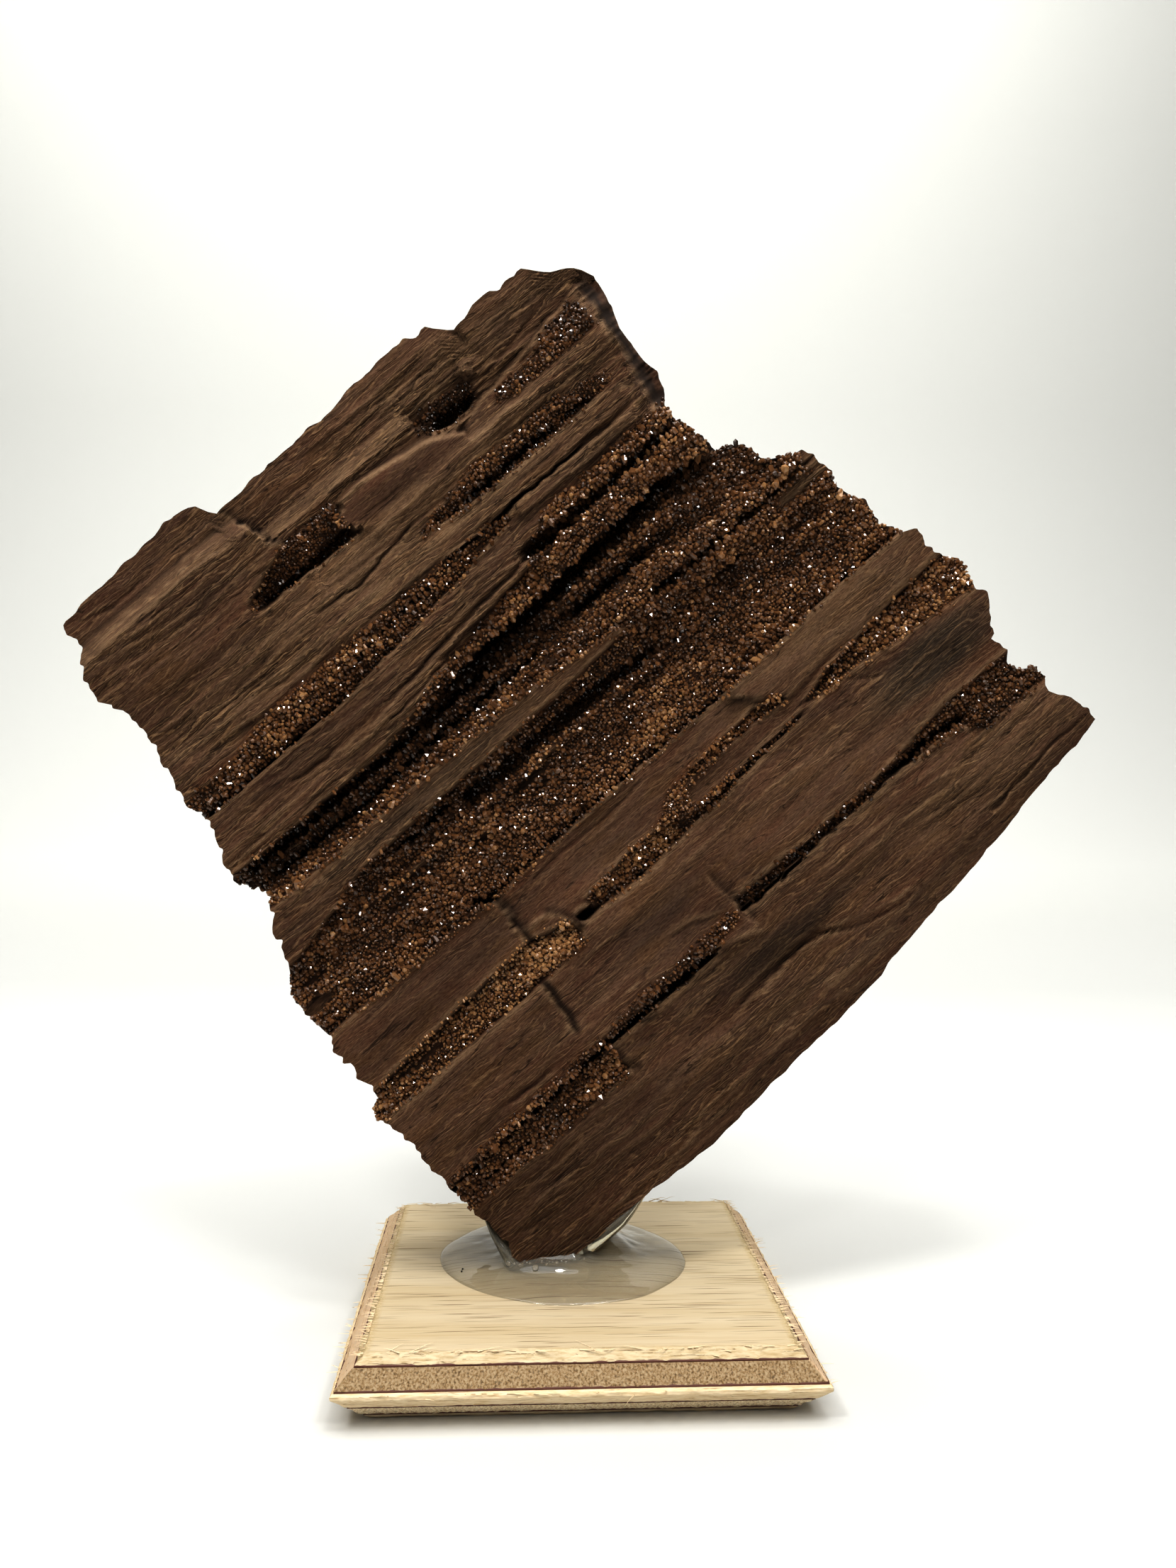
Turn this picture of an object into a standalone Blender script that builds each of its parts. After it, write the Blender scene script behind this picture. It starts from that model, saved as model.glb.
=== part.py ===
"""Quartz druse on petrified wood, glued by one corner to a small bevelled square of plywood.

Every size below is in millimetres and MM turns it to metres. +Z is up, the worked face of the stone looks
along -Y, and the origin is the centre of the plywood's underside.

The face is described in its own two directions: s runs along the grain, up to the right, and t runs across
it, down to the right. A height is how far the surface stands proud of the face plane; hollows are negative.
"""

import math
from typing import NamedTuple

import bmesh
import bpy
import numpy as np
from mathutils import Vector

MM = 0.001
GAP = 0.3  # left between neighbouring pieces

# ---------------------------------------------------------------- the stone's place and outline

GRAIN_TILT = math.radians(41)
FACE_PLANE_Y = -8.0
FACE_CENTRE_Z = 94.0
BACK_PLANE_Y = 18.0
# The relief fans out from this point: what lies deeper than the face plane also lies further out from it.
SIGHT_POINT = (1.84, -216.6, 94.0)

TOP_EDGE = [(-48.8, -82.5), (-35, -83.8), (-21.5, -85), (-17.5, -84), (-15.5, -80.3), (10, -81.2),
            (30, -82.3), (34, -81.6), (37.5, -78), (47, -79.2), (53.7, -78.5), (58, -74.5), (62.3, -71)]
BOTTOM_EDGE = [(-59.4, 55.5), (-57.5, 57.5), (-54, 60.1), (-34, 60), (-20, 60.8), (0, 59.2), (21, 57.5),
               (33, 55.2), (50, 53), (66, 50), (78.8, 48.3)]
# The two broken ends, as (t, s).
LEFT_EDGE = [(-82.5, -48.8), (-78, -48.7), (-75, -51.5), (-69, -52.3), (-64, -49.9), (-57, -50.2),
             (-48, -52.3), (-42, -51.5), (-36, -52.5), (-30, -54.7), (-26, -52.8), (-23, -51.3),
             (-17, -55.2), (-10, -57.8), (-7, -59.8), (0, -59.8), (4, -60.6), (11, -60.6), (16, -59.7),
             (19.3, -62.7), (24, -61.3), (34, -61), (45, -60), (53, -59.8), (55.5, -59.4)]
RIGHT_EDGE = [(-71, 62.3), (-66, 62.3), (-59, 60.3), (-49, 60.3), (-44, 57.5), (-37, 58.5), (-31.5, 59),
              (-29.5, 63), (-24, 66), (-22, 70), (-18, 71.8), (-13, 71), (-8, 73.2), (-3, 72.5), (1, 75),
              (5, 76.7), (11, 79), (18, 79), (25, 75), (29, 74.5), (32, 74), (35, 77), (40, 76.5),
              (46, 79), (48.3, 78.8)]

# ---------------------------------------------------------------- the relief of the face

# Height of the face across the grain, before its ledges and hollows, as (t, height).
FACE_PROFILE = [(-86, -11), (-79, -9.5), (-73, -9), (-70.3, -5), (-68, -5.5), (-60, -2.5), (-50, -1.5),
                (-40, -0.5), (-30, -1), (-20, -1.5), (-10, -2), (0, -1), (3, 0), (10, 0.3), (20, 0.8),
                (30, 1), (40, 0.5), (50, -0.8), (56, -1.8), (61, -3)]


class Band(NamedTuple):
    """A strip of the face between two lines along the grain, raised or sunk to a level of its own."""

    top: list  # (s, t) points of its upper line
    bottom: list  # (s, t) points of its lower line
    level: tuple  # height at the upper and at the lower line
    slope: tuple  # width of the slopes at the upper and lower line
    ends: tuple  # length of the slopes at the left and right end
    sunk: bool  # the slopes of a hollow lie inside its lines, those of a ledge outside
    left: list = None  # (t, s) points of a broken left end
    right: list = None  # (t, s) points of a broken right end


def ledge(top, bottom, level, slope, ends, left=None, right=None):
    return Band(top, bottom, level, slope, ends, False, left, right)


def hollow(top, bottom, level, slope, ends, left=None, right=None):
    return Band(top, bottom, level, slope, ends, True, left, right)


# From the top of the face to its foot. A later band overlies an earlier one.
BANDS = {
    "upper_left_plate": ledge([(-54, -75.2), (-12, -75)], [(-54, -60), (-9, -60)], (0.8, -1), (3.3, 9),
                              (0.5, 0.8), right=[(-80, -15.5), (-75.5, -12.8), (-71, -12), (-66, -9.5)]),
    "upper_right_face": hollow([(27, -82), (63, -82)], [(27, -63.8), (45, -66.7), (59, -69.4), (63, -70)],
                               (-7, -10), (2, 0.8), (1, 0), left=[(-82, 36), (-76, 38), (-70, 34), (-65, 28)]),
    "crest_slope": ledge([(27, -63.5), (45, -66.5), (59, -69.2), (63, -70)], [(27, -60), (63, -60)],
                         (-6.5, -1.5), (0.6, 2), (2, 0)),
    "crest_pocket": hollow([(20, -73.5), (34, -73.5)], [(20, -69.5), (24, -66.8), (27, -65.2), (34, -66.3)],
                           (-9, -13), (2, 1), (1, 1.2)),
    "upper_pocket": hollow([(-22, -66), (-16, -68.3), (1.5, -68.8)], [(-22, -61.7), (1.5, -61.4)],
                           (-7, -11), (1.5, 0.6), (3, 1.5)),
    "tongue_plate": ledge([(0.5, -65), (2.5, -67.8), (6, -68.3), (12, -67.4), (20, -66.4), (27, -63)],
                          [(0.5, -64.5), (2, -62), (6, -60.3), (27, -60.3)], (-2, -1.6), (1.6, 1), (0.8, 0.8)),
    "brow": ledge([(5, -60.2), (60, -60.2)], [(5, -59.6), (60, -59.6)], (-1.4, -1.4), (1.5, 2.4), (4, 0)),
    "upper_groove": hollow([(11, -54), (20, -56.5), (52, -56.8)], [(11, -53), (20, -52), (52, -52)],
                           (-6, -9), (0.8, 0.5), (6, 3)),
    "upper_ledge": ledge([(-53, -52), (55, -51.8)], [(-53, -48.6), (54, -48.4)], (-1.2, -0.6), (1.2, 0.5),
                         (0.5, 0.8)),
    "upper_slot": hollow([(17, -47.8), (26, -48.5), (53, -48.4)], [(17, -46.2), (26, -46.9), (53, -46.7)],
                         (-6, -6), (0.4, 0.4), (3, 1)),
    "lumpy_ridge": ledge([(22, -46.3), (53, -46.8)], [(22, -44.5), (53, -42.8)], (-0.6, -1), (0.5, 1.5),
                         (2, 1)),
    "upper_band": hollow([(-54, -45.4), (-38, -46.4), (-30, -47.4), (24, -47.5)],
                         [(-54, -40.2), (-20, -40.2), (10, -43.2), (24, -45.7)], (-3.5, -6.5), (1, 0.4), (0, 2)),
    "broad_ledge": ledge([(-57, -39.6), (-20, -39.7), (20, -43.3)],
                         [(-57, -29.6), (-30, -29.6), (-10, -31), (0, -33.2), (20, -35.2)], (0, 1.6),
                         (0.6, 0.8), (0, 2.5)),
    "split_ledge": ledge([(-24, -35), (-15, -35), (25, -38.2)], [(-24, -33), (-10, -32.2), (25, -35.2)],
                         (1.6, 2.2), (0.5, 0.8), (4, 1.5)),
    "right_slot": hollow([(20, -40.8), (59, -41.2)], [(20, -38.2), (26, -37.2), (59, -39)], (-5, -9),
                         (1, 0.5), (1.5, 0)),
    "crystal_ridge": ledge([(0, -35), (25, -37), (60, -38.3)], [(0, -32), (20, -32.4), (60, -35)],
                           (-0.7, -1.5), (0.6, 0.8), (3, 0)),
    "main_hollow": hollow([(-57, -29.8), (-20, -29.3), (0, -31.9), (20, -32.3), (50, -34.7), (64, -31)],
                          [(-57, -20.8), (25, -20.8), (67, -22.5)], (-10, -8), (1.2, 2.5), (0, 0)),
    "deep_slot": hollow([(2, -31.6), (20, -32.2), (50, -34.6)], [(2, -29.6), (20, -29.4), (50, -32.2)],
                        (-16, -16), (0.4, 0.6), (3, 3)),
    "inner_rib": ledge([(20, -29), (45, -30)], [(20, -27.4), (45, -27.8)], (-5, -5), (0.7, 0.6), (3, 4)),
    "inner_slot": hollow([(20, -27), (44, -27)], [(20, -25), (44, -25.2)], (-13, -13), (0.4, 0.5), (3, 3)),
    "smooth_rib": ledge([(-58, -20.3), (0, -20.9), (25, -20.6)],
                        [(-58, -11.5), (-50, -12), (-38, -15.5), (-20, -16.4), (25, -17.4)], (1.2, 0.6),
                        (1, 0.7), (0, 2)),
    "rib_tail": ledge([(25, -22.2), (73, -22.2)], [(25, -19.8), (73, -19.9)], (-1.6, -1.4), (1.6, 0.6), (3, 0)),
    "tail_slot": hollow([(32, -20), (73, -19.7)], [(32, -18.4), (73, -18.4)], (-5, -5), (0.4, 0.5), (3, 8)),
    "dark_groove": hollow([(-42, -13.8), (-36, -15.2), (-20, -16.1), (25, -16.6), (45, -15.3), (75, -14.5)],
                          [(-42, -10), (75, -9.6)], (-7, -6.5), (0.8, 1.5), (5, 10)),
    "centre_slope": hollow([(-61, -10), (76, -9.8)], [(-61, 2.9), (-25, 2.6), (-20, 3.6), (0, 2.2), (35, 2),
                                                      (60, 0.7), (76, 0.3)], (-4.4, -2.6), (0.8, 0.4), (0, 0)),
    "left_plate": ledge([(-63, 3.2), (-26, 2.6), (-22, 4)], [(-63, 15.6), (-50, 14.6), (-22, 12.8)],
                        (1.6, 1.2), (0.4, 0.5), (0, 0.5), right=[(2, -25), (4, -22.3), (14, -22.8)]),
    "right_plate": ledge([(30, 2.2), (45, 1.4), (80, 0.3)], [(30, 9.5), (40, 9.6), (60, 8.4), (80, 7.2)],
                         (1.4, 1), (0.4, 0.8), (0.5, 0), left=[(1.5, 31), (3, 32), (7, 36), (9.5, 39.7)]),
    "left_groove": hollow([(-65, 15.8), (-50, 14.8), (-22, 13), (-14, 14.5)], [(-65, 20.3), (-26, 20.3),
                                                                              (-14, 18.8)], (-4.4, -2.2),
                          (0.4, 0.8), (0, 2)),
    "middle_groove": hollow([(-12, 13.4), (0, 12.6), (6, 10.8), (14, 10.6), (20, 13.2), (40, 12.6)],
                            [(-12, 16.4), (0, 17.2), (12, 16.6), (20, 15.6), (40, 14.2)], (-3.4, -4),
                            (0.6, 0.4), (2, 6)),
    "right_groove": hollow([(42, 12.3), (50, 10.3), (80, 8)], [(42, 13.4), (55, 14), (80, 16.6)],
                           (-3.8, -3), (0.5, 0.8), (4, 0)),
    "lower_plate": ledge([(-65, 20.4), (-26, 20.3)], [(-65, 30.5), (-27, 30.5)], (2.2, 1.6), (0.4, 2),
                         (0, 0.4), right=[(20, -25.9), (25, -26.3), (32, -27.3)]),
    "middle_step": ledge([(-27, 26), (11, 27)], [(-27, 34), (-5, 33.5), (2, 35), (11, 38)], (1, 1.9),
                         (4, 1), (6, 0.4), right=[(24, 8.7), (30, 9), (38, 10)]),
    "bottom_left_shelf": hollow([(-62, 36.6), (-24, 35.5)], [(-62, 40), (-55, 42.4), (-24, 42)],
                                (-3.4, -2.2), (0.3, 1), (0, 0.5), right=[(36, -24.2), (42, -22.8)]),
    "bottom_left_slot": hollow([(-62, 36.4), (-40, 35.5), (-25, 34.5), (3, 34.3)],
                               [(-62, 38.2), (-40, 37.3), (-25, 36.4), (3, 35.8)], (-6, -6), (0.4, 0.4),
                               (0, 3)),
    "bottom_right_groove": hollow([(9.6, 30.2), (45, 30.2), (60, 28.8), (80, 28.6)],
                                  [(9.6, 33.8), (45, 32.8), (60, 33.4), (64, 36.6), (80, 36.8)],
                                  (-3, -3.8), (0.6, 0.5), (0.4, 0)),
    "bottom_right_slot": hollow([(44, 30.8), (62, 30.4)], [(44, 32.7), (62, 32.9)], (-7, -7), (0.4, 0.4),
                                (4, 3)),
    "fold": hollow([(-6, 44), (0, 42.5), (15, 42), (25, 46.5), (36, 49.5)],
                   [(-6, 46.7), (0, 45.5), (15, 45), (25, 49.8), (36, 51.6)], (0.3, -2), (0.3, 0.8), (4, 3)),
    "foot_roll": hollow([(-40, 60.5), (-20, 56), (20, 52), (80, 45)], [(-40, 63), (80, 63)], (-1, -7),
                        (3, 0.1), (8, 0)),
}

# The fresh break at the upper right: right of this line, as (t, s), the stone falls away to the back.
END_BREAK = [(-69.3, 59.3), (-60, 58.5), (-54, 57.5), (-50, 56.5), (-44, 55.5)]
END_BREAK_FALL = 4.5  # millimetres back for each millimetre to the right

# Rows and columns of the face's mesh, as values of t and of s: close together where the relief is sharp.
ROWS = [-85, -82, -79, -76.5, -75, -73, -70.5, -68.5, -66.8, -65, -63, -61.5, -60, -58, -56.6, -55.4, -53.6,
        -52, -50, -48.5, -47.2, -45.4, -43, -40.6, -39.6, -38, -36.4, -35, -33.6, -32.2, -30.6, -29.4, -28,
        -26.6, -25.2, -23.6, -22, -20.6, -19.2, -17.6, -16.2, -14.8, -13, -11.4, -9.8, -8, -6, -4, -2, 0, 1.8,
        3.2, 6, 9, 11, 12.6, 14, 15.6, 17.6, 19.6, 20.8, 24, 27.5, 30, 31.6, 33.4, 34.8, 36, 37.6, 40, 42.4,
        44.4, 46.4, 49, 52, 56, 60]
COLUMNS = [-45, -36, -27.6, -25.2, -22.4, -15, -11.5, -3, 3, 8.6, 10.4, 18, 24, 31, 38, 44, 50]
RIGHT_SPLITS = 3  # columns between the last of these and the right end
TOP_WARP, FOOT_WARP = -68.0, 44.0  # rows beyond these bend to follow the upper and lower edge


def line(points, x):
    """Reads a line of (x, y) points at x, level beyond its ends."""
    p = np.array(points, float)
    return np.interp(x, p[:, 0], p[:, 1])


def ramp(distance, width):
    """0 to 1 as the distance goes from 0 to the width; a step where the width is 0."""
    return np.clip(distance / max(width, 1e-6), 0, 1)


def relief(s, t):
    """Height of the bare stone at each (s, t), without its crystals."""
    h = line(FACE_PROFILE, t) + 0.35 * np.sin(0.31 * s + 0.9 * np.sin(0.21 * t)) * np.sin(0.43 * t)
    for band in BANDS.values():
        upper, lower = line(band.top, s), line(band.bottom, s)
        left = line(band.left, t) if band.left else band.top[0][0]
        right = line(band.right, t) if band.right else band.top[-1][0]
        spread = (0, 0, 0, 0) if band.sunk else (*band.slope, *band.ends)
        cover = ramp(t - upper + spread[0], band.slope[0]) * ramp(lower - t + spread[1], band.slope[1])
        cover *= ramp(s - left + spread[2], band.ends[0]) * ramp(right - s + spread[3], band.ends[1])
        across = np.clip((t - upper) / np.maximum(lower - upper, 0.1), 0, 1)
        level = band.level[0] + (band.level[1] - band.level[0]) * across
        h += cover * (level - h)
    beyond = np.clip(s - line(END_BREAK, t), 0, None)
    fade = ramp(t + 71, 1.5) * ramp(-43.5 - t, 1.5)
    return h - END_BREAK_FALL * beyond * fade


def face_point(s, t, h):
    """The place in millimetres of the face's point (s, t) at height h."""
    x = s * math.cos(GRAIN_TILT) + t * math.sin(GRAIN_TILT)
    z = FACE_CENTRE_Z + s * math.sin(GRAIN_TILT) - t * math.cos(GRAIN_TILT)
    eye_x, eye_y, eye_z = SIGHT_POINT
    reach = (FACE_PLANE_Y - h - eye_y) / (FACE_PLANE_Y - eye_y)
    return np.stack([eye_x + (x - eye_x) * reach, FACE_PLANE_Y - h, eye_z + (z - eye_z) * reach], -1)


def face_grid(rows, columns, splits):
    """(s, t) of a grid whose outer rows and columns lie on the stone's outline."""
    nominal = np.array(rows, float)
    top_share = np.clip((TOP_WARP - nominal) / (TOP_WARP - rows[0]), 0, 1)
    foot_share = np.clip((nominal - FOOT_WARP) / (rows[-1] - FOOT_WARP), 0, 1)

    def bend(s):
        """t of every row at the values s."""
        t = np.clip(nominal, TOP_WARP, FOOT_WARP)
        return t + top_share * (line(TOP_EDGE, s) - TOP_WARP) + foot_share * (line(BOTTOM_EDGE, s) - FOOT_WARP)

    left = line(LEFT_EDGE, bend(LEFT_EDGE[0][1]))
    left = line(LEFT_EDGE, bend(left))
    right = line(RIGHT_EDGE, bend(RIGHT_EDGE[0][1] + 0 * nominal))
    right = line(RIGHT_EDGE, bend(right))
    inner = [np.full(len(nominal), float(c)) for c in columns]
    spread = [columns[-1] + (right - columns[-1]) * k / splits for k in range(1, splits + 1)]
    s = np.stack([left, *inner, *spread], 1)
    t = np.stack([bend(s[:, j]) for j in range(s.shape[1])], 1)
    return s, t


# ---------------------------------------------------------------- small mesh tools


def add_object(name, points_mm, faces, material):
    """Makes one closed object from points in millimetres."""
    bm = bmesh.new()
    verts = [bm.verts.new(Vector([float(c) for c in p]) * MM) for p in points_mm]
    for face in faces:
        bm.faces.new([verts[i] for i in face])
    bmesh.ops.recalc_face_normals(bm, faces=bm.faces[:])
    if bm.calc_volume(signed=True) < 0:
        bmesh.ops.reverse_faces(bm, faces=bm.faces[:])
    mesh = bpy.data.meshes.new(name)
    bm.to_mesh(mesh)
    bm.free()
    mesh.materials.append(material)
    obj = bpy.data.objects.new(name, mesh)
    bpy.context.scene.collection.objects.link(obj)
    return obj


def grid_triangles(rows, columns, start=0):
    """Two triangles for each cell of a grid numbered row by row."""
    faces = []
    for i in range(rows - 1):
        for j in range(columns - 1):
            a = start + i * columns + j
            faces += [(a, a + columns, a + columns + 1), (a, a + columns + 1, a + 1)]
    return faces


def rim(rows, columns):
    """The outer vertices of a grid in order, each with its place from 0 to 4 round the four sides."""
    last_row, last_column = rows - 1, columns - 1
    loop = [(j, j / last_column) for j in range(last_column)]
    loop += [(i * columns + last_column, 1 + i / last_row) for i in range(last_row)]
    loop += [(last_row * columns + j, 3 - j / last_column) for j in range(last_column, 0, -1)]
    loop += [(i * columns, 4 - i / last_row) for i in range(last_row, 0, -1)]
    return loop


def zip_loops(first, second):
    """Triangles between two closed loops, each a list of (vertex, place) with places in step."""
    faces, i, j = [], 0, 0
    while i < len(first) or j < len(second):
        a, b = first[i % len(first)][0], second[j % len(second)][0]
        next_a = first[i + 1][1] if i + 1 < len(first) else 4.0
        next_b = second[j + 1][1] if j + 1 < len(second) else 4.0
        if j == len(second) or (i < len(first) and next_a <= next_b):
            faces.append((a, first[(i + 1) % len(first)][0], b))
            i += 1
        else:
            faces.append((a, second[(j + 1) % len(second)][0], b))
            j += 1
    return faces


def finish(name, colour, roughness, transmission=0.0):
    """A plain Principled material; colour is linear RGB."""
    material = bpy.data.materials.new(name)
    material.use_nodes = True
    shader = material.node_tree.nodes["Principled BSDF"]
    shader.inputs["Base Color"].default_value = (*colour, 1)
    shader.inputs["Roughness"].default_value = roughness
    shader.inputs["Transmission Weight"].default_value = transmission
    return material


# ---------------------------------------------------------------- petrified wood

BACK_ROWS = [-85, -74, -66, -58, -56, -46, -36, -33, -24, -12, -8, 2, 12, 21, 24, 34, 44, 48, 54, 60]
BACK_COLUMNS = [-45, -33, -22, -18, -6, 6, 18, 24, 36, 48]
# Height of the back across the grain: worn ledges.
BACK_PROFILE = [(-85, -7), (-76, -1.5), (-58, 0), (-56, -2.2), (-36, -1.2), (-33, 1.4), (-12, 2), (-8, -0.4),
                (21, -0.8), (24, 1.2), (44, 0.6), (48, -1.4), (60, -5)]
BACK_STEP = (-20, 1.3)  # right of this s the back stands this much lower
SIDE_POINTS = 22  # on each of the four sides, half way from the face to the back


def petrified_wood(s, t, material):
    """One solid: the worked face, four broken sides and a worn back."""
    rows, columns = s.shape
    front = face_point(s, t, relief(s, t)).reshape(-1, 3)

    back_s, back_t = face_grid(BACK_ROWS, BACK_COLUMNS, 2)
    back = face_point(back_s, back_t, 0 * back_s)
    step = BACK_STEP[1] * ramp(back_s - BACK_STEP[0], 2)
    rise = line(BACK_PROFILE, back_t) - step + 0.5 * np.sin(0.23 * back_s + 0.4 * back_t)
    back[..., 1] = BACK_PLANE_Y + rise
    back_shape, back = back_s.shape, back.reshape(-1, 3)

    front_rim, back_rim = rim(rows, columns), rim(*back_shape)
    places = np.arange(4 * SIDE_POINTS) / SIDE_POINTS

    def along(loop, points):
        """The loop's points read at the places of the middle loop."""
        index = [v for v, _ in loop] + [loop[0][0]]
        at = [p for _, p in loop] + [4.0]
        return np.stack([np.interp(places, at, points[index, k]) for k in range(3)], 1)

    middle = 0.5 * (along(front_rim, front) + along(back_rim, back))
    inward = 1.2 + 0.9 * np.sin(5.1 * places) + 0.5 * np.sin(13.7 * places)
    centre = np.array([0, 0, FACE_CENTRE_Z])
    toward = (centre - middle) * (1, 0, 1)
    middle += toward / np.linalg.norm(toward, axis=1, keepdims=True) * inward[:, None]

    points = np.concatenate([front, middle, back])
    middle_start, back_start = len(front), len(front) + len(middle)
    middle_rim = [(middle_start + k, p) for k, p in enumerate(places)]
    back_rim = [(back_start + v, p) for v, p in back_rim]
    faces = grid_triangles(rows, columns) + grid_triangles(*back_shape, start=back_start)
    faces += zip_loops(front_rim, middle_rim) + zip_loops(middle_rim, back_rim)
    return add_object("petrified_wood", points, faces, material)


# ---------------------------------------------------------------- quartz druse

CRUST = 0.55  # thickness of the crust between its crystals
CRYSTAL = (0.5, 1.3)  # how far the points stand above it
CRYSTAL_PITCH = 3.2  # width of a cell of the crust along the grain

# Where each crust lies: its upper and its lower line.
CRUSTS = {
    "quartz_upper_pocket": ([(-20, -67.5), (1, -68)], [(-20, -61.8), (1, -61.8)]),
    "quartz_crest_pocket": ([(21, -72.8), (33.5, -72.5)], [(21, -69), (25, -66.5), (33.5, -66)]),
    "quartz_crest_slope": ([(34, -65), (50, -67.5), (58, -68.5)], [(34, -62), (58, -61.5)]),
    "quartz_upper_groove": ([(13, -55.6), (20, -56.8), (51, -56.8)], [(13, -53), (51, -51.8)]),
    "quartz_upper_band": ([(-54, -46.2), (-30, -47.6), (25, -47.5)], [(-54, -40.2), (-20, -40.2), (10, -43),
                                                                     (25, -45.2)]),
    "quartz_main_hollow": ([(-57, -30), (-10, -30.3), (0, -34), (20, -37), (24, -41.5), (60, -43.5), (70, -30)],
                           [(-57, -20.8), (25, -20.8), (32, -16), (75, -16)]),
    "quartz_centre_slope": ([(-62, -10.5), (-48, -11), (-36, -15.4), (20, -16.2), (33, -15.8), (76, -15.6)],
                            [(-62, 2.8), (-20, 2.8), (60, 0.8), (76, 0.4)]),
    "quartz_left_groove": ([(-66, 15.2), (-50, 14.4), (-14, 12.9)], [(-66, 20.3), (-14, 19.4)]),
    "quartz_middle_groove": ([(-10, 12.6), (30, 11.2)], [(-10, 16.8), (30, 15.6)]),
    "quartz_right_groove": ([(44, 10.5), (80, 8.8)], [(44, 14), (80, 16)]),
    "quartz_bottom_left": ([(-62, 35.2), (-24, 35)], [(-62, 42.4), (-24, 42.4)]),
    "quartz_bottom_right": ([(10, 30), (80, 29.8)], [(10, 33.6), (58, 33.6), (64, 37.6), (80, 37.6)]),
}


def crust_cells(s, t, upper, lower):
    """The face's cells whose middle lies between the two lines."""
    mid_s = (s[:-1, :-1] + s[1:, 1:]) / 2
    mid_t = (t[:-1, :-1] + t[1:, 1:]) / 2
    inside = (mid_t > line(upper, mid_s)) & (mid_t < line(lower, mid_s))
    inside &= (mid_s > upper[0][0]) & (mid_s < upper[-1][0])
    return {(int(i), int(j)) for i, j in np.argwhere(inside)}


def quartz_crust(name, s, t, h, cells, material, rng):
    """A closed sheet over some of the face's cells: it follows the stone below and has crystals on top.

    A cell is cut along the grain into several on the upper side only, so the sheet's walls are fans.
    """
    points, faces, below, above = [], [], {}, {}
    widths = np.diff(s, axis=1)
    cuts = {j: max(1, round(float(np.mean([widths[i, j] for i, c in cells if c == j])) / CRYSTAL_PITCH))
            for j in {c for _, c in cells}}

    def low(i, j):
        if (i, j) not in below:
            below[i, j] = len(points)
            points.append(face_point(s[i, j], t[i, j], h[i, j] + GAP))
        return below[i, j]

    def high(i, j, k):
        if k == cuts.get(j):
            j, k = j + 1, 0
        if (i, j, k) not in above:
            share = k / cuts[j] if k else 0.0
            neighbours = {(i - 1, j), (i, j)} | (set() if k else {(i - 1, j - 1), (i, j - 1)})
            edge = not neighbours <= cells
            peak = (i + j + k) % 2 == 0
            lift = 0.0 if edge else rng.uniform(*CRYSTAL) if peak else rng.uniform(0, 0.25)
            m = j + 1 if k else j
            mix = [a[i, j] + (a[i, m] - a[i, j]) * share for a in (s, t, h)]
            above[i, j, k] = len(points)
            points.append(face_point(mix[0], mix[1], mix[2] + GAP + CRUST + lift))
        return above[i, j, k]

    def row_wall(i, j):
        """The wall of cell column j along row line i."""
        chain = [high(i, j, k) for k in range(cuts[j] + 1)]
        half = (len(chain) + 1) // 2
        a, b = low(i, j), low(i, j + 1)
        faces.extend((a, chain[k], chain[k + 1]) for k in range(half - 1))
        faces.append((a, chain[half - 1], b))
        faces.extend((b, chain[k], chain[k + 1]) for k in range(half - 1, len(chain) - 1))

    def column_wall(i, j):
        a, b, c, d = low(i, j), low(i + 1, j), high(i + 1, j, 0), high(i, j, 0)
        faces.extend([(a, b, c), (a, c, d)])

    for i, j in sorted(cells):
        a, b, c, d = low(i, j), low(i, j + 1), low(i + 1, j + 1), low(i + 1, j)
        faces.extend([(a, d, c), (a, c, b)])
        for k in range(cuts[j]):
            a, b, c, d = high(i, j, k), high(i, j, k + 1), high(i + 1, j, k + 1), high(i + 1, j, k)
            faces.extend([(a, b, c), (a, c, d)] if (i + j + k) % 2 == 0 else [(a, b, d), (b, c, d)])
        if (i - 1, j) not in cells:
            row_wall(i, j)
        if (i + 1, j) not in cells:
            row_wall(i + 1, j)
        if (i, j - 1) not in cells:
            column_wall(i, j)
        if (i, j + 1) not in cells:
            column_wall(i, j + 1)
    return add_object(name, points, faces, material)


# ---------------------------------------------------------------- plywood base

BASE_TURN = math.radians(3.3)
BASE_TOP_Z = 10.2
# Half width of the square at each height: bevelled above and below a blunt middle.
BASE_SECTION = [(0, 32.7), (5.2, 38.1), (5.7, 38.1), (10.2, 33.55)]
EDGE_CUTS = 4  # pieces in each side of the square, for its slightly ragged edge
RAGGED = 0.2
PLIES = {
    "base_bottom_ply": [0, 0.85],
    "base_lower_cross_ply": [1.15, 2.95],
    "base_middle_ply": [3.25, 5.2, 5.7, 6.0],
    "base_upper_cross_ply": [6.3, 8.55],
    "base_top_ply": [8.85, BASE_TOP_Z],
}


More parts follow.
